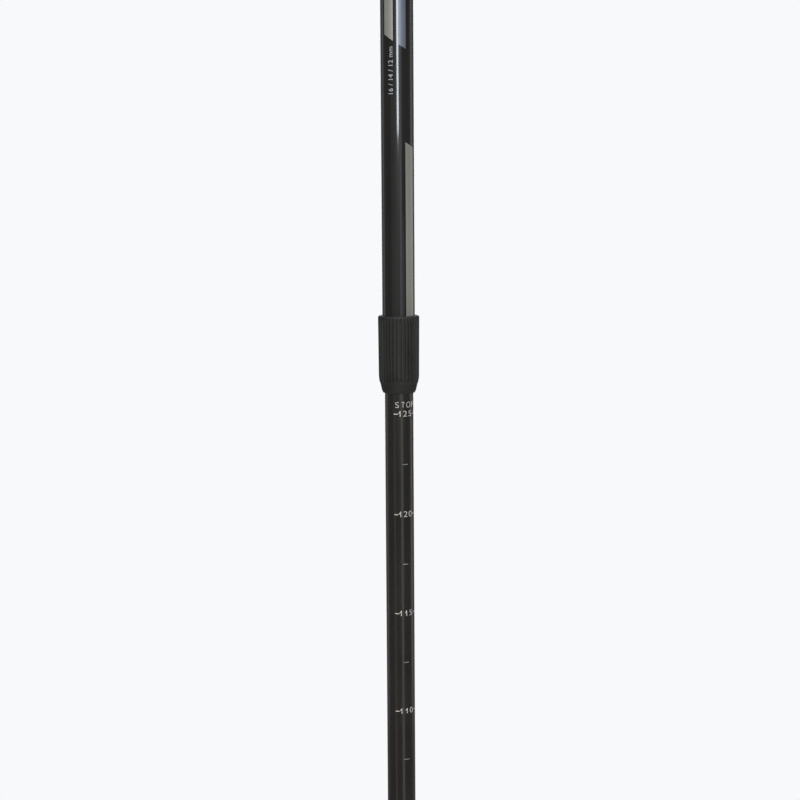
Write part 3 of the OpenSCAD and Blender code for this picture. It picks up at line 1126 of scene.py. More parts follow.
@dataclass(frozen=True)
class Grip:
    """Handle: a moulded core with an oval head, a foam sleeve, an end ring, a top cap and a pin."""

    body: str = "handle"
    neck_radius: float = 15.5
    half_width: float = 17.0
    half_depth: float = 22.4
    lean: float = -3.0
    squareness: float = 3.8
    core_radius: float = 10.2
    ridge: float = 0.7
    ridge_count: int = 4
    past_head: float = 40.0
    recess_radius: float = 2.3

    @property
    def _neck(self) -> float:
        """Height at which the head starts, on top of the foam."""
        return box_of("grip_foam").top

    @property
    def _tube_bore(self) -> float:
        """Radius of the bore for the top tube."""
        return box_of("upper_tube").reach + FIT

    def build(self) -> None:
        """Makes the handle's six pieces."""
        self._head()
        self._core()
        self._foam()
        self._end_ring()
        self._cap()
        self._pin()

    def _head_form(self, low: float, high: float) -> Surface:
        """The head without its cuts.

        Half width, half depth and lean grow from the round neck with a smooth step, and the dome
        above scales them by cos(f)^0.55 while the height follows sin(f)^0.95. The section's front
        is half an ellipse, and its back the curve |x|^n + |y|^n = 1, whose n grows from 2 to
        squareness, so that it has shoulders that hold the pin's ends.

        Args:
            low, high: heights of the neck and of the dome's top.

        Returns:
            A closed surface whose rows go up the head.
        """
        rows, shoulder = 22, low + 0.62 * (high - low)
        rise = np.linspace(0.0, 1.0, rows)
        dome = np.linspace(0.0, math.pi / 2, rows)[1:]
        grow = np.concatenate([smooth_step(rise), np.ones(rows - 1)])
        shrink = np.concatenate([np.ones(rows), np.cos(dome).clip(0.0) ** 0.55])
        above = shoulder + (high - shoulder) * np.sin(dome) ** 0.95
        z = np.concatenate([low + (shoulder - low) * rise, above])
        wide = (self.neck_radius + (self.half_width - self.neck_radius) * grow) * shrink
        deep = (self.neck_radius + (self.half_depth - self.neck_radius) * grow) * shrink
        angle = full_turn(128)[None, :]
        power = 2.0 / np.where(np.cos(angle) < 0.0, 2.0 + (self.squareness - 2.0) * grow[:, None], 2.0)
        x = wide[:, None] * signed_power(np.sin(angle), power)
        y = self.lean * grow[:, None] - deep[:, None] * signed_power(np.cos(angle), power)
        points = np.stack([x, y, z[:, None] + 0.0 * angle], axis=-1)
        base = np.zeros_like(points[:1])
        base[..., 2] = low
        return Surface(np.concatenate([base, points]))

    def _block(self, outline: Sequence[Corner], half_width: float) -> bpy.types.Mesh:
        """Makes a straight block across the grip, to cut with.

        Args:
            outline: (y, z, cut length) corners.
            half_width: how far it reaches to either side.

        Returns:
            The block's mesh.
        """
        side = rounded(outline)
        points = np.stack([np.column_stack([np.full(len(side), x), side]) for x in (-half_width, half_width)])
        return build_mesh("block", [Surface(points, capped=True)])

    def _bore(self, radius: float, low: float, high: float) -> Surface:
        """A plain upright cylinder on the pole's axis, to cut with."""
        corners = [(0.0, low, 0.0), (radius, low, 0.0), (radius, high, 0.0), (0.0, high, 0.0)]
        return revolve(rounded(corners, closed=False), closed=False)

    def _head(self) -> None:
        """Head with the strap's pocket, the wedge's slot and the round bores cut into it."""
        head = build_mesh("head", [self._head_form(self._neck, box_of("grip_core").top)], 60.0)
        cutters = [self._pocket(), self._slot()]
        cutters += [build_mesh("bore", [bore]) for bore in self._bores()]
        carved = carve(head, cutters, 35.0)
        Piece("grip_head", HEAD, self.body, ("grip_core",), crease=35.0, edge=0.35).place(carved)

    def _pocket(self) -> bpy.types.Mesh:
        """Makes the cutter for the strap's pocket, which is open to the back.

        Returns:
            The cutter.
        """
        strap, (_, pin_y, pin_z) = box_of("strap_webbing"), box_of("strap_pin").middle
        inner = min(float(strap.low[1]), pin_y) - 2.4
        floor, roof, foot, back = pin_z - 8.0, pin_z + 9.0, self._neck - 4.0, self.past_head
        throat, lip = 13.5, 20.5
        corners = [
            (inner, floor, 1.0), (inner, roof, 2.0), (back, roof, 0.0),
            (back, foot, 0.0), (lip, foot, 0.0), (throat, floor, 3.0),
        ]  # fmt: skip
        return self._block(corners, strap.reach + 1.0)

    def _slot(self) -> bpy.types.Mesh:
        """Makes the cutter for the wedge's slot.

        Returns:
            The cutter.
        """
        wedge, pin_z, gap = box_of("strap_wedge"), box_of("strap_pin").middle[2], 0.35
        front, back = float(wedge.low[1]) - gap, float(wedge.high[1]) + gap
        foot, above = pin_z + 7.0, pin_z + self.past_head
        corners = [(front, foot, 0.0), (front, above, 0.0), (back, above, 0.0), (back, foot, 0.0)]
        return self._block(corners, wedge.reach + gap)

    def _bores(self) -> list[Surface]:
        """Makes the round cutters.

        Returns:
            Cutters for the cap's seat, the top tube's end and the recesses at the pin's two ends.
        """
        cap, tube, pin = box_of("grip_head_cap"), box_of("upper_tube"), box_of("strap_pin")
        _, pin_y, pin_z = pin.middle
        seat = self._bore(cap.reach + 0.1, cap.bottom, pin_z + self.past_head).moved(0.0, cap.middle[1], 0.0)
        bores = [seat, self._bore(self._tube_bore, self._neck - 5.0, tube.top + FIT)]
        recess, length = pin.reach - 1.0, 20.0
        for start, end in ((recess, recess + length), (-recess - length, -recess)):
            hole = self._bore(self.recess_radius, start, end).across()
            bores.append(hole.moved(0.0, pin_y, pin_z))
        return bores

    def _core(self) -> None:
        """Thin wall between the top tube and the foam."""
        foot, neck = box_of("grip_core").bottom, self._neck
        bore, outer = self._tube_bore, self.core_radius
        wall = rounded([(bore, foot, 0.2), (outer, foot, 0.3), (outer, neck, 0.0), (bore, neck, 0.0)])
        Piece("grip_core_wall", HEAD, self.body).make([revolve(wall)])

    def _foam(self) -> None:
        """Foam sleeve.

        r = mean - ridge * finger(angle) * cos(2 pi ridge_count t) - 1.5 (2t - 1)^8, where t runs from
        0 to 1 up the sleeve and finger is 1.15 at the front and 0.45 at the back.
        """
        node = box_of("grip_foam")
        t, angle = np.linspace(0.0, 1.0, 145)[None, :], full_turn(128)[:, None]
        wave = np.sin(t * self.ridge_count * 2.0 * math.pi - math.pi / 2)
        finger = 0.8 + 0.35 * np.cos(angle)
        mean = node.reach - self.ridge - 0.05
        outer = mean + self.ridge * finger * wave - 1.5 * (2.0 * t - 1.0) ** 8
        inner = np.full((len(angle), 2), self.core_radius + FIT)
        z = np.append(node.bottom + t[0] * (node.top - node.bottom), [node.top, node.bottom])
        points = around(np.concatenate([outer, inner], axis=1), angle, z[None, :])
        skin = Surface(points, wrap_rows=True)
        sleeve = Piece("foam_sleeve", FOAM, self.body, ("grip_foam",), crease=50.0).make([skin])

    def _end_ring(self) -> None:
        """Ring that ends the foam, with two shallow grooves round it."""
        node = box_of("grip_end_ring")
        low, high, outer = node.bottom, node.top, node.reach
        bore, seat, foot = self._tube_bore, self.core_radius + FIT, box_of("grip_core").bottom
        corners = [(bore, low, 0.3), (outer - 0.8, low, 2.0), (outer - 0.1, high - 4.6, 0.2)]
        for z in (high - 4.4, high - 2.6):
            corners += [(outer - 0.5, z, 0.15), (outer - 0.5, z + 0.8, 0.15), (outer, z + 1.0, 0.15)]
        corners += [(outer, high, 0.2), (seat, high, 0.0), (seat, foot, 0.0), (bore, foot, 0.0)]
        ring = revolve(rounded(corners), 128)
        Piece("grip_ring", TRIM, self.body, ("grip_end_ring",)).make([ring])

    def _cap(self) -> None:
        """Round cap in the head's top: a low dome with a groove and a raised button."""
        node = box_of("grip_head_cap")
        r, top = node.reach, node.top
        corners = [
            (0.0, node.bottom, 0.0), (r, node.bottom, 0.1), (r, top - 1.2, 0.6),
            (r - 1.4, top - 0.55, 0.3), (r - 1.7, top - 0.95, 0.15), (r - 2.5, top - 0.85, 0.15),
            (r - 2.9, top - 0.3, 0.3), (0.0, top, 0.0),
        ]  # fmt: skip
        dome = revolve(split_long(rounded(corners, closed=False), 1.5, closed=False), closed=False)
        Piece("head_cap", TRIM, self.body, ("grip_head_cap",)).make([dome.moved(0.0, node.middle[1], 0.0)])

    def _pin(self) -> None:
        """Steel pin that the strap turns on, with rounded ends."""
        node = box_of("strap_pin")
        r, half = (node.top - node.bottom) / 2, node.reach
        corners = [(0.0, -half, 0.0), (r, -half, 0.4), (r, half, 0.4), (0.0, half, 0.0)]
        rod = revolve(rounded(corners, closed=False), 48, closed=False).across()
        Piece("strap_cross_pin", STEEL, self.body, ("strap_pin",)).make([rod.moved(0.0, *node.middle[1:])])


# ---- Wrist strap ----


@dataclass(frozen=True)
class WristStrap:
    """Webbing that turns on the head's pin, hangs as a loop and is lined with a soft pad.

    Both plies run together down the neck, which leans back by tilt degrees, and pad_span is half
    the angle that the pad covers of the loop's round bottom.
    """

    body: str = "strap"
    tilt: float = 18.0
    neck_length: float = 30.0
    ply: float = 1.9
    loop_radius: float = 29.0
    pin_radius: float = 1.5
    pad_span: float = 82.0
    pad_half_thickness: float = 1.5
    pad_gap: float = 0.12
    keeper_place: float = 20.0
    tack_rows: tuple[float, float] = (26.0, 28.5)

    def build(self) -> None:
        """Makes the webbing, its seams, the pad, the keeper and the wedge."""
        path, normal = self._path()
        self._webbing(path, normal)
        self._seams()
        self._pad()
        self._keeper()
        self._wedge()

    @property
    def width(self) -> float:
        """Width of the webbing."""
        return 2.0 * box_of("strap_webbing").reach

    @property
    def _pin(self) -> np.ndarray:
        """(y, z) of the pin's middle."""
        return box_of("strap_pin").middle[1:]

    @property
    def _down(self) -> np.ndarray:
        """Direction of the neck in (y, z)."""
        return np.array([math.sin(math.radians(self.tilt)), -math.cos(math.radians(self.tilt))])

    @property
    def _loop_centre(self) -> np.ndarray:
        """(y, z) of the middle of the loop's round bottom."""
        node, outer = box_of("strap_webbing"), self.loop_radius + 1.0
        return np.array([node.high[1] - outer, node.low[2] + outer])

    @property
    def _side(self) -> np.ndarray:
        """Direction across the neck's plies in (y, z)."""
        return np.array([-self._down[1], self._down[0]])

    @property
    def _pad_middle(self) -> float:
        """Angle of the pad's middle, seen from the loop's middle and opposite to the neck."""
        reach = self._pin + self._down * self.neck_length - self._loop_centre
        return math.atan2(reach[1], reach[0]) + math.pi

    def _path(self) -> tuple[np.ndarray, np.ndarray]:
        """Middle line of the webbing, round the pin, down the neck and round the loop.

        The loop is a circle with the two lines from the neck's foot that touch it. All of it is
        resampled evenly by length and eased with a 1-2-1 average.

        Returns:
            Points and unit normals, as (y, z) rows.
        """
        pin, down, side, centre = self._pin, self._down, self._side, self._loop_centre
        foot = pin + down * self.neck_length
        reach, turn = foot - centre, np.linspace(0.0, math.pi, 19)
        half = math.acos(self.loop_radius / np.linalg.norm(reach))
        start = math.atan2(reach[1], reach[0])
        bend = np.linspace(start + half, start + 2.0 * math.pi - half, 90)
        loop = centre + self.loop_radius * np.column_stack([np.cos(bend), np.sin(bend)])
        if np.dot(loop[0] - foot, side) < 0.0:
            loop = loop[::-1]
        wrap = self.pin_radius + 0.08 + self.ply / 2
        over = pin + wrap * (np.outer(np.cos(turn), side) - np.outer(np.sin(turn), down))
        half_gap, ends = self.ply / 2 + 0.05, (9.0, self.neck_length - 2.0)
        right = [pin + side * half_gap + down * d for d in ends]
        left = [pin - side * half_gap + down * d for d in reversed(ends)]
        return self._even(np.concatenate([over[::-1], right, loop, left]))

    def _even(self, line: np.ndarray) -> tuple[np.ndarray, np.ndarray]:
        """Evens out a closed line.

        Args:
            line: the line's (y, z) points.

        Returns:
            Evenly spaced and eased points, and the unit normals there.
        """
        spacing, rounds = 0.7, 4
        shut = np.concatenate([line, line[:1]])
        run = np.concatenate([[0.0], np.cumsum(np.linalg.norm(np.diff(shut, axis=0), axis=1))])
        marks = np.linspace(0.0, run[-1], math.ceil(run[-1] / spacing), endpoint=False)
        even = np.column_stack([np.interp(marks, run, shut[:, k]) for k in (0, 1)])
        for _ in range(rounds):
            even = (np.roll(even, 1, axis=0) + 2.0 * even + np.roll(even, -1, axis=0)) / 4.0
        ahead = np.roll(even, -1, axis=0) - np.roll(even, 1, axis=0)
        ahead /= np.linalg.norm(ahead, axis=1)[:, None]
        return even, np.column_stack([ahead[:, 1], -ahead[:, 0]])

    def _webbing(self, path: np.ndarray, normal: np.ndarray) -> None:
        """Flat webbing with rounded selvedges, and UV in millimetres across and along it.

        Args:
            path: the webbing's middle line, as (y, z) points.
            normal: the unit normals there.
        """
        w, t = self.width / 2, self.ply / 2
        section = split_long(rounded([(-w, -t, 0.7), (w, -t, 0.7), (w, t, 0.7), (-w, t, 0.7)], steps=3), 1.6)
        space = np.column_stack([np.zeros(len(path)), path])
        out = np.column_stack([np.zeros(len(path)), normal])
        across = np.broadcast_to([1.0, 0.0, 0.0], space.shape)
        steps = np.linalg.norm(np.roll(path, -1, axis=0) - path, axis=1)
        along = np.concatenate([[0.0], np.cumsum(steps)])[:, None]
        shut = np.concatenate([section, section[:1]])
        uv = np.stack([shut[None, :, 0] + 0.0 * along, along + 0.0 * shut[None, :, 0]], axis=-1)
        band = sweep(section, space, across, out, wrap_rows=True, uv=uv)
        Piece("wrist_webbing", WEBBING, self.body, ("strap_webbing",), crease=60.0).make([band])

    def _neck_point(self, x: np.ndarray, down: np.ndarray, out: np.ndarray) -> np.ndarray:
        """Points on the neck from their places across it, down it and out from its middle."""
        flat = self._pin + np.outer(down, self._down) + np.outer(out, self._side)
        return np.column_stack([x, flat])

    def _seams(self) -> None:
        """Two bar tacks that close the neck, front and back."""
        count, half = 13, self.width / 2 - 2.0
        x = np.linspace(-half, half, count)
        along = np.tile(np.concatenate([[0.35], self._down * 0.94]), (count, 1))
        along /= np.linalg.norm(along, axis=1)[:, None]
        sewn = []
        for face in (-1.0, 1.0):
            out = np.tile(np.append(0.0, face * self._side), (count, 1))
            for row in self.tack_rows:
                centre = self._neck_point(x, np.full(count, row), np.full(count, face * (self.ply + 0.05)))
                sewn += stitches(centre, along, out, 2.2, 0.55)
        Piece("neck_stitching", THREAD, self.body).make(sewn)

    def _pad(self) -> None:
        """Soft pad inside the loop's lower half.

        Its section is the rounded box |x|^a + |n|^b = 1 with a crown, its ends thin out along an
        eighth-power curve, and sewn channels across it pull its inner side in.
        """
        centre, half_width, thick = self._loop_centre, box_of("strap_lining").reach, self.pad_half_thickness
        sides, channels, channel_width, channel_depth = 56, 6.0, 0.09, 0.22
        s = np.linspace(-1.0, 1.0, 181)[:, None]
        angle = self._pad_middle + np.radians(self.pad_span) * s
        turn = full_turn(sides)[None, :]
        end = (1.0 - np.abs(s) ** 8).clip(0.0) ** 0.5
        x = half_width * signed_power(np.cos(turn), 0.45) * (0.93 + 0.07 * end)
        channel = np.exp(-((((s * channels) % 1.0 - 0.5) / channel_width) ** 2))
        crown = 1.0 - channel_depth * channel * (np.abs(x) < half_width * 0.86)
        bulge = signed_power(np.sin(turn), 0.6) * thick * end
        bulge = np.where(np.sin(turn) < 0.0, bulge * crown, bulge)
        r = self.loop_radius - self.ply / 2 - self.pad_gap - thick + bulge
        y, z = centre[0] + r * np.cos(angle), centre[1] + r * np.sin(angle)
        run = np.radians(self.pad_span) * s * self.loop_radius
        shut = np.linspace(-1.0, 1.0, sides + 1)[None, :] * 2.0 * half_width
        uv = np.stack([shut + 0.0 * run, run + 0.0 * shut], axis=-1)
        skin = Surface(np.stack([x + 0.0 * y, y, z], axis=-1), uv=uv)
        pad = Piece("wrist_pad", LINING, self.body, ("strap_lining",), crease=80.0).make([skin])
        self._pad_seams(half_width)

    def _pad_seams(self, half_width: float) -> None:
        """Lines of stitches along both sides of the pad's inner face.

        Args:
            half_width: half the pad's width.
        """
        count, inset, sunk = 34, 2.2, 0.28
        angle = self._pad_middle + np.radians(self.pad_span * 0.93) * np.linspace(-1.0, 1.0, count)
        r = self.loop_radius - self.ply / 2 - self.pad_gap - 2.0 * self.pad_half_thickness + sunk
        ahead = np.column_stack([np.zeros(count), -np.sin(angle), np.cos(angle)])
        outward = np.column_stack([np.zeros(count), np.cos(angle), np.sin(angle)])
        sewn = []
        for side in (-1.0, 1.0):
            place = np.append(side * (half_width - inset), self._loop_centre)
            sewn += stitches(place + r * outward, ahead, -outward, 1.7, 0.45)
        Piece("pad_stitching", THREAD, self.body).make(sewn)

    def _keeper(self) -> None:
        """Moulded loop round both plies: a small rounded section carried round a rounded box."""
        wall, h, cut = 1.5, 4.0, 0.6
        w, t = box_of("strap_keeper").reach - wall, self.ply + 0.2
        ring = split_long(rounded([(-w, -t, cut), (w, -t, cut), (w, t, cut), (-w, t, cut)]), 2.5)
        ahead = np.roll(ring, -1, axis=0) - np.roll(ring, 1, axis=0)
        ahead /= np.linalg.norm(ahead, axis=1)[:, None]
        path = self._neck_point(ring[:, 0], np.full(len(ring), self.keeper_place), ring[:, 1])
        out = np.column_stack([ahead[:, 1], np.outer(-ahead[:, 0], self._side)])
        down = np.tile(np.append(0.0, self._down), (len(ring), 1))
        corners = [
            (0.0, -h, 0.2), (wall, -h, 0.7), (wall, -0.6, 0.3), (wall - 0.35, 0.0, 0.3), (wall, 0.6, 0.3),
            (wall, h, 0.7), (0.0, h, 0.2),
        ]  # fmt: skip
        loop = sweep(rounded(corners), path, out, down, wrap_rows=True)
        Piece("strap_loop_keeper", TRIM, self.body, ("strap_keeper",), crease=50.0).make([loop])

    def _wedge(self) -> None:
        """Wedge that clamps the strap, with three finger grooves across its top."""
        node = box_of("strap_wedge")
        (_, y0, z0), (x1, y1, z1) = node.low, node.high
        mid = node.middle[1]
        top = [(y1, z1, 0.5)]
        for y in (mid + 1.3, mid, mid - 1.3):
            top += [(y + 0.45, z1, 0.1), (y, z1 - 0.6, 0.3), (y - 0.45, z1, 0.1)]
        side = rounded([(y0 + 0.5, z0, 0.4), (y1 - 0.5, z0, 0.4), *top, (y0, z1, 0.5)], steps=3)
        points = np.stack([np.column_stack([np.full(len(side), x), side]) for x in (-x1, x1)])
        block = Surface(points, capped=True)
        Piece("strap_lock_wedge", TRIM, "wedge", ("strap_wedge",), crease=55.0, edge=0.3).make([block])


# ---- Tip and basket ----


@dataclass(frozen=True)
class Tip:
    """Foot of the pole: a moulded ferrule, the tip's steel holder, the hard tip and the basket.

    holder_top and point_top are the heights of the ends of the bores for the holder and the tip.
    """

    body: str = "lower"
    foot_radius: float = 5.6
    foot_top: float = 48.0
    seat_radius: float = 7.0
    sleeve_radius: float = 7.9
    core_radius: float = 3.0
    holder_top: float = 32.0
    point_radius: float = 2.0
    point_top: float = 16.0

    def build(self) -> None:
        """Makes the tip's three pieces and the basket."""
        self._ferrule()
        self._holder()
        self._point()
        Basket().build()

    def _ferrule(self) -> None:
        """Ferrule: foot seat, basket seat, shoulder and a sleeve with gripping rings."""
        node, tube = box_of("tip_ferrule"), box_of("lower_tube")
        bottom, top, wide = node.bottom, node.top, node.reach
        shoulder = box_of("basket").top + 0.4
        holder, socket = box_of("tip_holder").reach + FIT, tube.reach + FIT
        foot, foot_top, seat, sleeve = self.foot_radius, self.foot_top, self.seat_radius, self.sleeve_radius
        corners = [
            (holder, bottom, 0.2), (foot - 1.0, bottom, 0.5), (foot, bottom + 4.0, 1.0),
            (foot, foot_top, 0.5), (seat, foot_top + 2.0, 0.5), (seat, shoulder, 0.1),
            (wide, shoulder, 0.4), (wide, shoulder + 2.6, 0.8), (sleeve, shoulder + 4.6, 0.8),
        ]  # fmt: skip
        pitch, narrowing, depth = 4.0, 0.6, 0.45
        for z in np.arange(top - 22.0, top - 8.0, pitch):
            r = sleeve - narrowing * (z - shoulder) / (top - shoulder)
            corners += [(r, z, 0.3), (r - depth, z + 0.5, 0.3), (r - depth, z + 1.3, 0.3), (r, z + 1.8, 0.3)]
        core, holder_top = self.core_radius, self.holder_top + FIT
        corners += [
            (sleeve - narrowing, top - 3.0, 1.0), (sleeve - 1.1, top, 0.4), (socket, top, 0.1),
            (socket, tube.bottom, 0.0), (core, tube.bottom, 0.0), (core, holder_top, 0.0),
            (holder, holder_top, 0.0),
        ]  # fmt: skip
        skin = revolve(split_long(rounded(corners), 8.0), 96)
        Piece("ferrule", TIP_PLASTIC, self.body, ("tip_ferrule",)).make([skin])

    def _holder(self) -> None:
        """Steel holder, with a turned shoulder where it leaves the ferrule."""
        node = box_of("tip_holder")
        r, bottom, top = node.reach, node.bottom, node.top
        bore, bore_top = self.point_radius + FIT, self.point_top + FIT
        corners = [
            (bore, bottom, 0.15), (2.9, bottom, 0.3), (r - 0.05, 8.0, 0.6), (r - 0.05, 9.6, 0.15),
            (r - 0.45, 9.9, 0.15), (r - 0.45, 10.7, 0.15), (r, 11.0, 0.15), (r, top, 0.3), (0.0, top, 0.0),
            (0.0, bore_top, 0.0), (bore, bore_top, 0.0),
        ]  # fmt: skip
        skin = revolve(rounded(corners), 72)
        Piece("tip_steel_holder", STEEL, self.body, ("tip_holder",)).make([skin])

    def _point(self) -> None:
        """Hard tip: a short cone whose foot is ground hollow inside a sharp rim."""
        node = box_of("carbide_tip")
        r, bottom, top = self.point_radius, node.bottom, node.top
        corners = [
            (0.0, bottom + 0.7, 0.0), (0.6, bottom + 0.6, 0.2), (1.15, bottom, 0.08), (1.5, bottom, 0.15),
            (r, bottom + 3.0, 0.5), (r, top, 0.2), (0.0, top, 0.0),
        ]  # fmt: skip
        skin = revolve(rounded(corners, closed=False), 48, closed=False)
        Piece("hard_tip", CARBIDE, self.body, ("carbide_tip",)).make([skin])


@dataclass(frozen=True)
class Basket:
    """Trekking basket: a hub, a sloping web with windows, stiffening ribs and a round rim.

    section_radius is that of the rim's own section.
    """

    body: str = "basket"
    windows: int = 8
    bore: float = 7.08
    hub_radius: float = 10.5
    section_radius: float = 1.6
    rim_height: float = 8.0
    web_low: float = 1.2
    web_rise: float = 5.6
    web_thickness: float = 2.2

    @property
    def _base(self) -> float:
        """Height of the basket's underside."""
        return box_of("basket").bottom

    @property
    def _rim_radius(self) -> float:
        """Radius at the middle of the rim's section."""
        return box_of("basket").reach - self.section_radius

    def build(self) -> None:
        """Makes the basket as one piece."""
        parts = [self._hub(), self._rim()]
        parts += [self._web(i) for i in range(self.windows)]
        parts += [self._rib(i + 0.5) for i in range(self.windows)]
        Piece("trekking_basket", TIP_PLASTIC, self.body, ("basket",), crease=45.0).make(parts)

    def _underside(self, r: np.ndarray) -> np.ndarray:
        """Height of the web's underside, which rises with the distance from the hub to the power 1.2.

        Args:
            r: radii.

        Returns:
            The height at each radius.
        """
        away = (r.clip(self.hub_radius) - self.hub_radius) / (self._rim_radius - self.hub_radius)
        return self._base + (self.web_low + self.web_rise * away**1.2)

    def _hub(self) -> Surface:
        """Makes the hub sleeve, with a bead round its foot.

        Returns:
            The hub.
        """
        base, top = self._base, box_of("basket").top
        bore, bead, waist, r = self.bore, self.hub_radius + 0.3, self.hub_radius - 0.6, self.hub_radius
        corners = [
            (bore, base, 0.4), (bead, base, 0.5), (bead, base + 4.2, 0.8), (waist, base + 5.4, 0.6),
            (waist, top - 2.4, 0.4), (r, top - 1.8, 0.3), (r, top, 0.7), (bore, top, 0.4),
        ]  # fmt: skip
        return revolve(rounded(corners))

    def _rim(self) -> Surface:
        """Makes the round rim: a circle turned about the pole.

        Returns:
            The rim.
        """
        a, r, height = full_turn(20), self.section_radius, self._base + self.rim_height
        return revolve(np.column_stack([self._rim_radius + r * np.cos(a), height + r * np.sin(a)]), 144)

    def _web(self, index: int) -> Surface:
        """One sector of the web with a window in it.

        Each point lies between the window's oval and the sector's own outline in the same
        direction: p = (1 - t) oval + t outline, with t falling to 0 and rising again as the
        section goes from the underside through the window's wall to the top.

        Args:
            index: which sector it is.

        Returns:
            The sector.
        """
        overlap = 0.4
        inner, outer = self.hub_radius - overlap, self._rim_radius + overlap
        half = math.pi / self.windows
        a = full_turn(64)[:, None]
        box = 1.0 / np.maximum(np.abs(np.cos(a)), np.abs(np.sin(a)))
        mid, reach = (inner + outer) / 2, (outer - inner) / 2
        level = np.array([1.0, 0.5, 0.12, 0.0, 0.0, 0.12, 0.5, 1.0])[None, :]
        lift = np.array([0.0, 0.0, 0.0, 0.25, 0.75, 1.0, 1.0, 1.0])[None, :]
        oval_r, oval_turn = 0.70 * reach, 0.66 * half
        r = mid + (1 - level) * oval_r * np.cos(a) + level * reach * box * np.cos(a)
        turn = (1 - level) * oval_turn * np.sin(a) + level * half * box * np.sin(a)
        angle = turn + 2.0 * half * index
        z = self._underside(r) + lift * self.web_thickness
        return Surface(around(r, angle, z), wrap_rows=True, wrap_columns=False)

    def _rib(self, index: float) -> Surface:
        """Makes a thin rib on the web between two windows, tallest at the hub.

        Args:
            index: place of the rib, in sectors.

        Returns:
            The rib.
        """
        r = np.linspace(self.hub_radius - 0.8, self._rim_radius - 0.4, 14)
        t = (r - r[0]) / (r[-1] - r[0])
        angle = 2.0 * math.pi * index / self.windows
        out = np.array([math.sin(angle), -math.cos(angle)])
        side = np.array([math.cos(angle), math.sin(angle)])
        foot = self._underside(r) + self.web_thickness * 0.6
        top = foot + 0.9 + 3.6 * (1.0 - t) ** 1.5
        loop = [(-0.7, foot), (-0.55, top - 0.3), (-0.2, top), (0.2, top), (0.55, top - 0.3), (0.7, foot)]
        points = [np.column_stack([np.outer(r, out) + w * side, z]) for w, z in loop]
        return Surface(np.stack(points, axis=1), capped=True)


# ---- Studio ----


@dataclass(frozen=True)
class Softbox:
    """A rectangular light that faces the pole, placed by its angle round it.

    distance, width and the heights low and high are metres, and the camera doesn't see the light.
    """

    name: str
    angle: float
    distance: float
    low: float
    high: float
    width: float
    radiance: float
    colour: Colour = (1.0, 1.0, 1.0)

    def build(self) -> None:
        """Hangs the light."""
        light = bpy.data.lights.new(self.name, "AREA")
        light.shape, light.size, light.size_y = "RECTANGLE", self.width, self.high - self.low
        light.energy = self.radiance * math.pi * light.size * light.size_y
        light.color = self.colour
        lamp = linked(self.name, light)
        turn = math.radians(self.angle)
        lamp.location = (
            self.distance * math.sin(turn), -self.distance * math.cos(turn), (self.low + self.high) / 2,
        )  # fmt: skip
        lamp.rotation_euler = (math.pi / 2, 0.0, turn)
        lamp.visible_camera = False


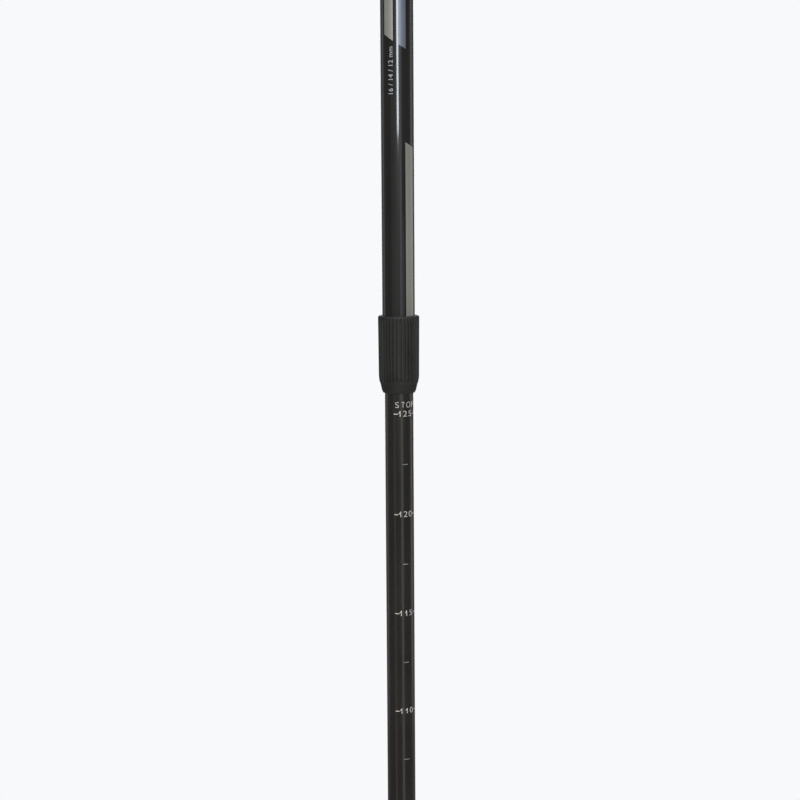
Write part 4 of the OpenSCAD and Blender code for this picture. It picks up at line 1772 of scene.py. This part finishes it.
@dataclass(frozen=True)
class Studio:
    """Camera, lights, pale floor and plain background. Lengths are metres."""

    aim_height: float = 0.7261
    distance: float = 0.870
    look_down: float = 7.5
    roll: float = 0.36
    lens: float = 79.5
    sideways: float = 0.00042
    backdrop: Colour = (0.939, 0.947, 0.965)
    surround: Colour = (0.192, 0.19, 0.188)
    floor_radius: float = 1.25

    def build(self) -> None:
        """Sets the whole studio up."""
        self._camera()
        self._lights()
        self._floor()
        self._world()
        bpy.context.scene.view_settings.view_transform = "Standard"

    def _camera(self) -> None:
        """Camera on the -Y side that looks slightly down at the upper collar."""
        lens = bpy.data.cameras.new("camera")
        lens.lens, lens.sensor_width = self.lens, 36.0
        camera = linked("camera", lens)
        down = math.radians(self.look_down)
        back = Vector((0.0, -math.cos(down), math.sin(down)))
        aim = Vector((self.sideways, 0.0, self.aim_height))
        level = (-back).to_track_quat("-Z", "Y").to_matrix()
        turn = level @ Matrix.Rotation(-math.radians(self.roll), 3, "Z")
        camera.matrix_world = Matrix.Translation(aim + back * self.distance) @ turn.to_4x4()
        bpy.context.scene.camera = camera

    def _lights(self) -> None:
        """A cool key box above the camera, weak fill boxes, side and back boxes, and a top light."""
        # Name, angle, distance, low and high end, width, radiance and colour.
        boxes = [
            Softbox("key", 3.2, 1.5, 0.884, 2.1, 0.335, 18.5, (0.88, 0.94, 1.0)),
            Softbox("front_fill", 20.5, 1.6, -0.4, 1.6, 0.44, 0.8, (0.97, 0.98, 1.0)),
            Softbox("left_fill_low", -40.0, 1.6, -0.4, 0.57, 0.4, 0.32, (1.0, 0.98, 0.95)),
            Softbox("left_fill_high", -27.0, 1.6, 0.6, 1.15, 1.2, 0.18, (1.0, 0.96, 0.92)),
            Softbox("right_fill", 37.0, 1.6, 0.56, 0.77, 0.34, 0.42, (1.0, 0.97, 0.94)),
            Softbox("right_side", 112.0, 1.8, 0.0, 1.9, 0.7, 0.6),
            Softbox("left_side", -118.0, 1.8, 0.0, 1.9, 0.5, 0.45),
            Softbox("back", 180.0, 2.2, 0.3, 2.4, 0.7, 3.2),
        ]
        for box in boxes:
            box.build()
        top, above = bpy.data.lights.new("top", "AREA"), 3.2
        top.shape, top.size, top.energy = "DISK", 2.4, 52.0
        lamp = linked("top", top)
        lamp.location, lamp.visible_camera = (0.0, 0.0, above), False

    def _floor(self) -> None:
        """Pale disc under the tip that fades out, so that it meets the background without an edge."""
        rings, height = 24, -0.2
        radius = np.linspace(0.0, self.floor_radius / MM, rings)
        outline = np.column_stack([radius, np.full(rings, height)])
        disc = linked("floor", build_mesh("floor", [revolve(outline, closed=False)], 30.0))
        w = Wiring("pale_floor")
        place = w.add("ShaderNodeTexCoord", {}).outputs["Object"]
        away = w.add("ShaderNodeVectorMath", {0: place}, operation="LENGTH").outputs["Value"]
        pale = w.mixed(w.noise((300.0,) * 3), (0.80, 0.81, 0.82), (0.83, 0.84, 0.85))
        w.put(w.shader.inputs["Base Color"], pale)
        w.shader.inputs["Roughness"].default_value = 0.8
        w.shader.inputs["Specular IOR Level"].default_value = 0.1
        w.put(w.shader.inputs["Alpha"], w.ranged(away, 0.45, 1.2, (1.0, 0.0)))
        disc.data.materials.append(w.material)

    def _world(self) -> None:
        """Plain pale background for the camera, and a dimmer, even surround for everything else."""
        world = bpy.data.worlds.new("studio")
        world.use_nodes = True
        nodes, links = world.node_tree.nodes, world.node_tree.links
        nodes.clear()
        seen, light = nodes.new("ShaderNodeBackground"), nodes.new("ShaderNodeBackground")
        seen.inputs["Color"].default_value = (*self.backdrop, 1.0)
        light.inputs["Color"].default_value = (*self.surround, 1.0)
        choose, path = nodes.new("ShaderNodeMixShader"), nodes.new("ShaderNodeLightPath")
        output = nodes.new("ShaderNodeOutputWorld")
        links.new(path.outputs["Is Camera Ray"], choose.inputs[0])
        links.new(light.outputs[0], choose.inputs[1])
        links.new(seen.outputs[0], choose.inputs[2])
        links.new(choose.outputs[0], output.inputs["Surface"])
        bpy.context.scene.world = world


def main() -> None:
    """Builds the pole from the top down, then the studio."""
    logging.basicConfig(level=logging.INFO, format="%(name)s: %(message)s")
    under_collar = 10.0
    first_mark = box_of("upper_collar").bottom - under_collar
    upper = Tube("upper_tube", "handle", LACQUER)
    middle = Tube("middle_tube", "middle", ANODISED)
    lower = Tube("lower_tube", "lower", ANODISED)
    Grip().build()
    WristStrap().build()
    for tube in (upper, middle, lower):
        tube.build()
    Stripes(upper, first_mark).build()
    LengthScale(middle, first_mark, tuple(range(125, 90, -5))).build()
    LengthScale(lower, box_of("lower_collar").bottom - under_collar, ()).build()
    Collar("upper_collar", "handle", middle.radius, upper.radius).build()
    Collar("lower_collar", "middle", lower.radius, middle.radius).build()
    TwistLock("upper", "middle", 1.0).build()
    TwistLock("lower", "lower", 0.8).build()
    Tip().build()
    Studio().build()


if __name__ == "__main__":
    main()
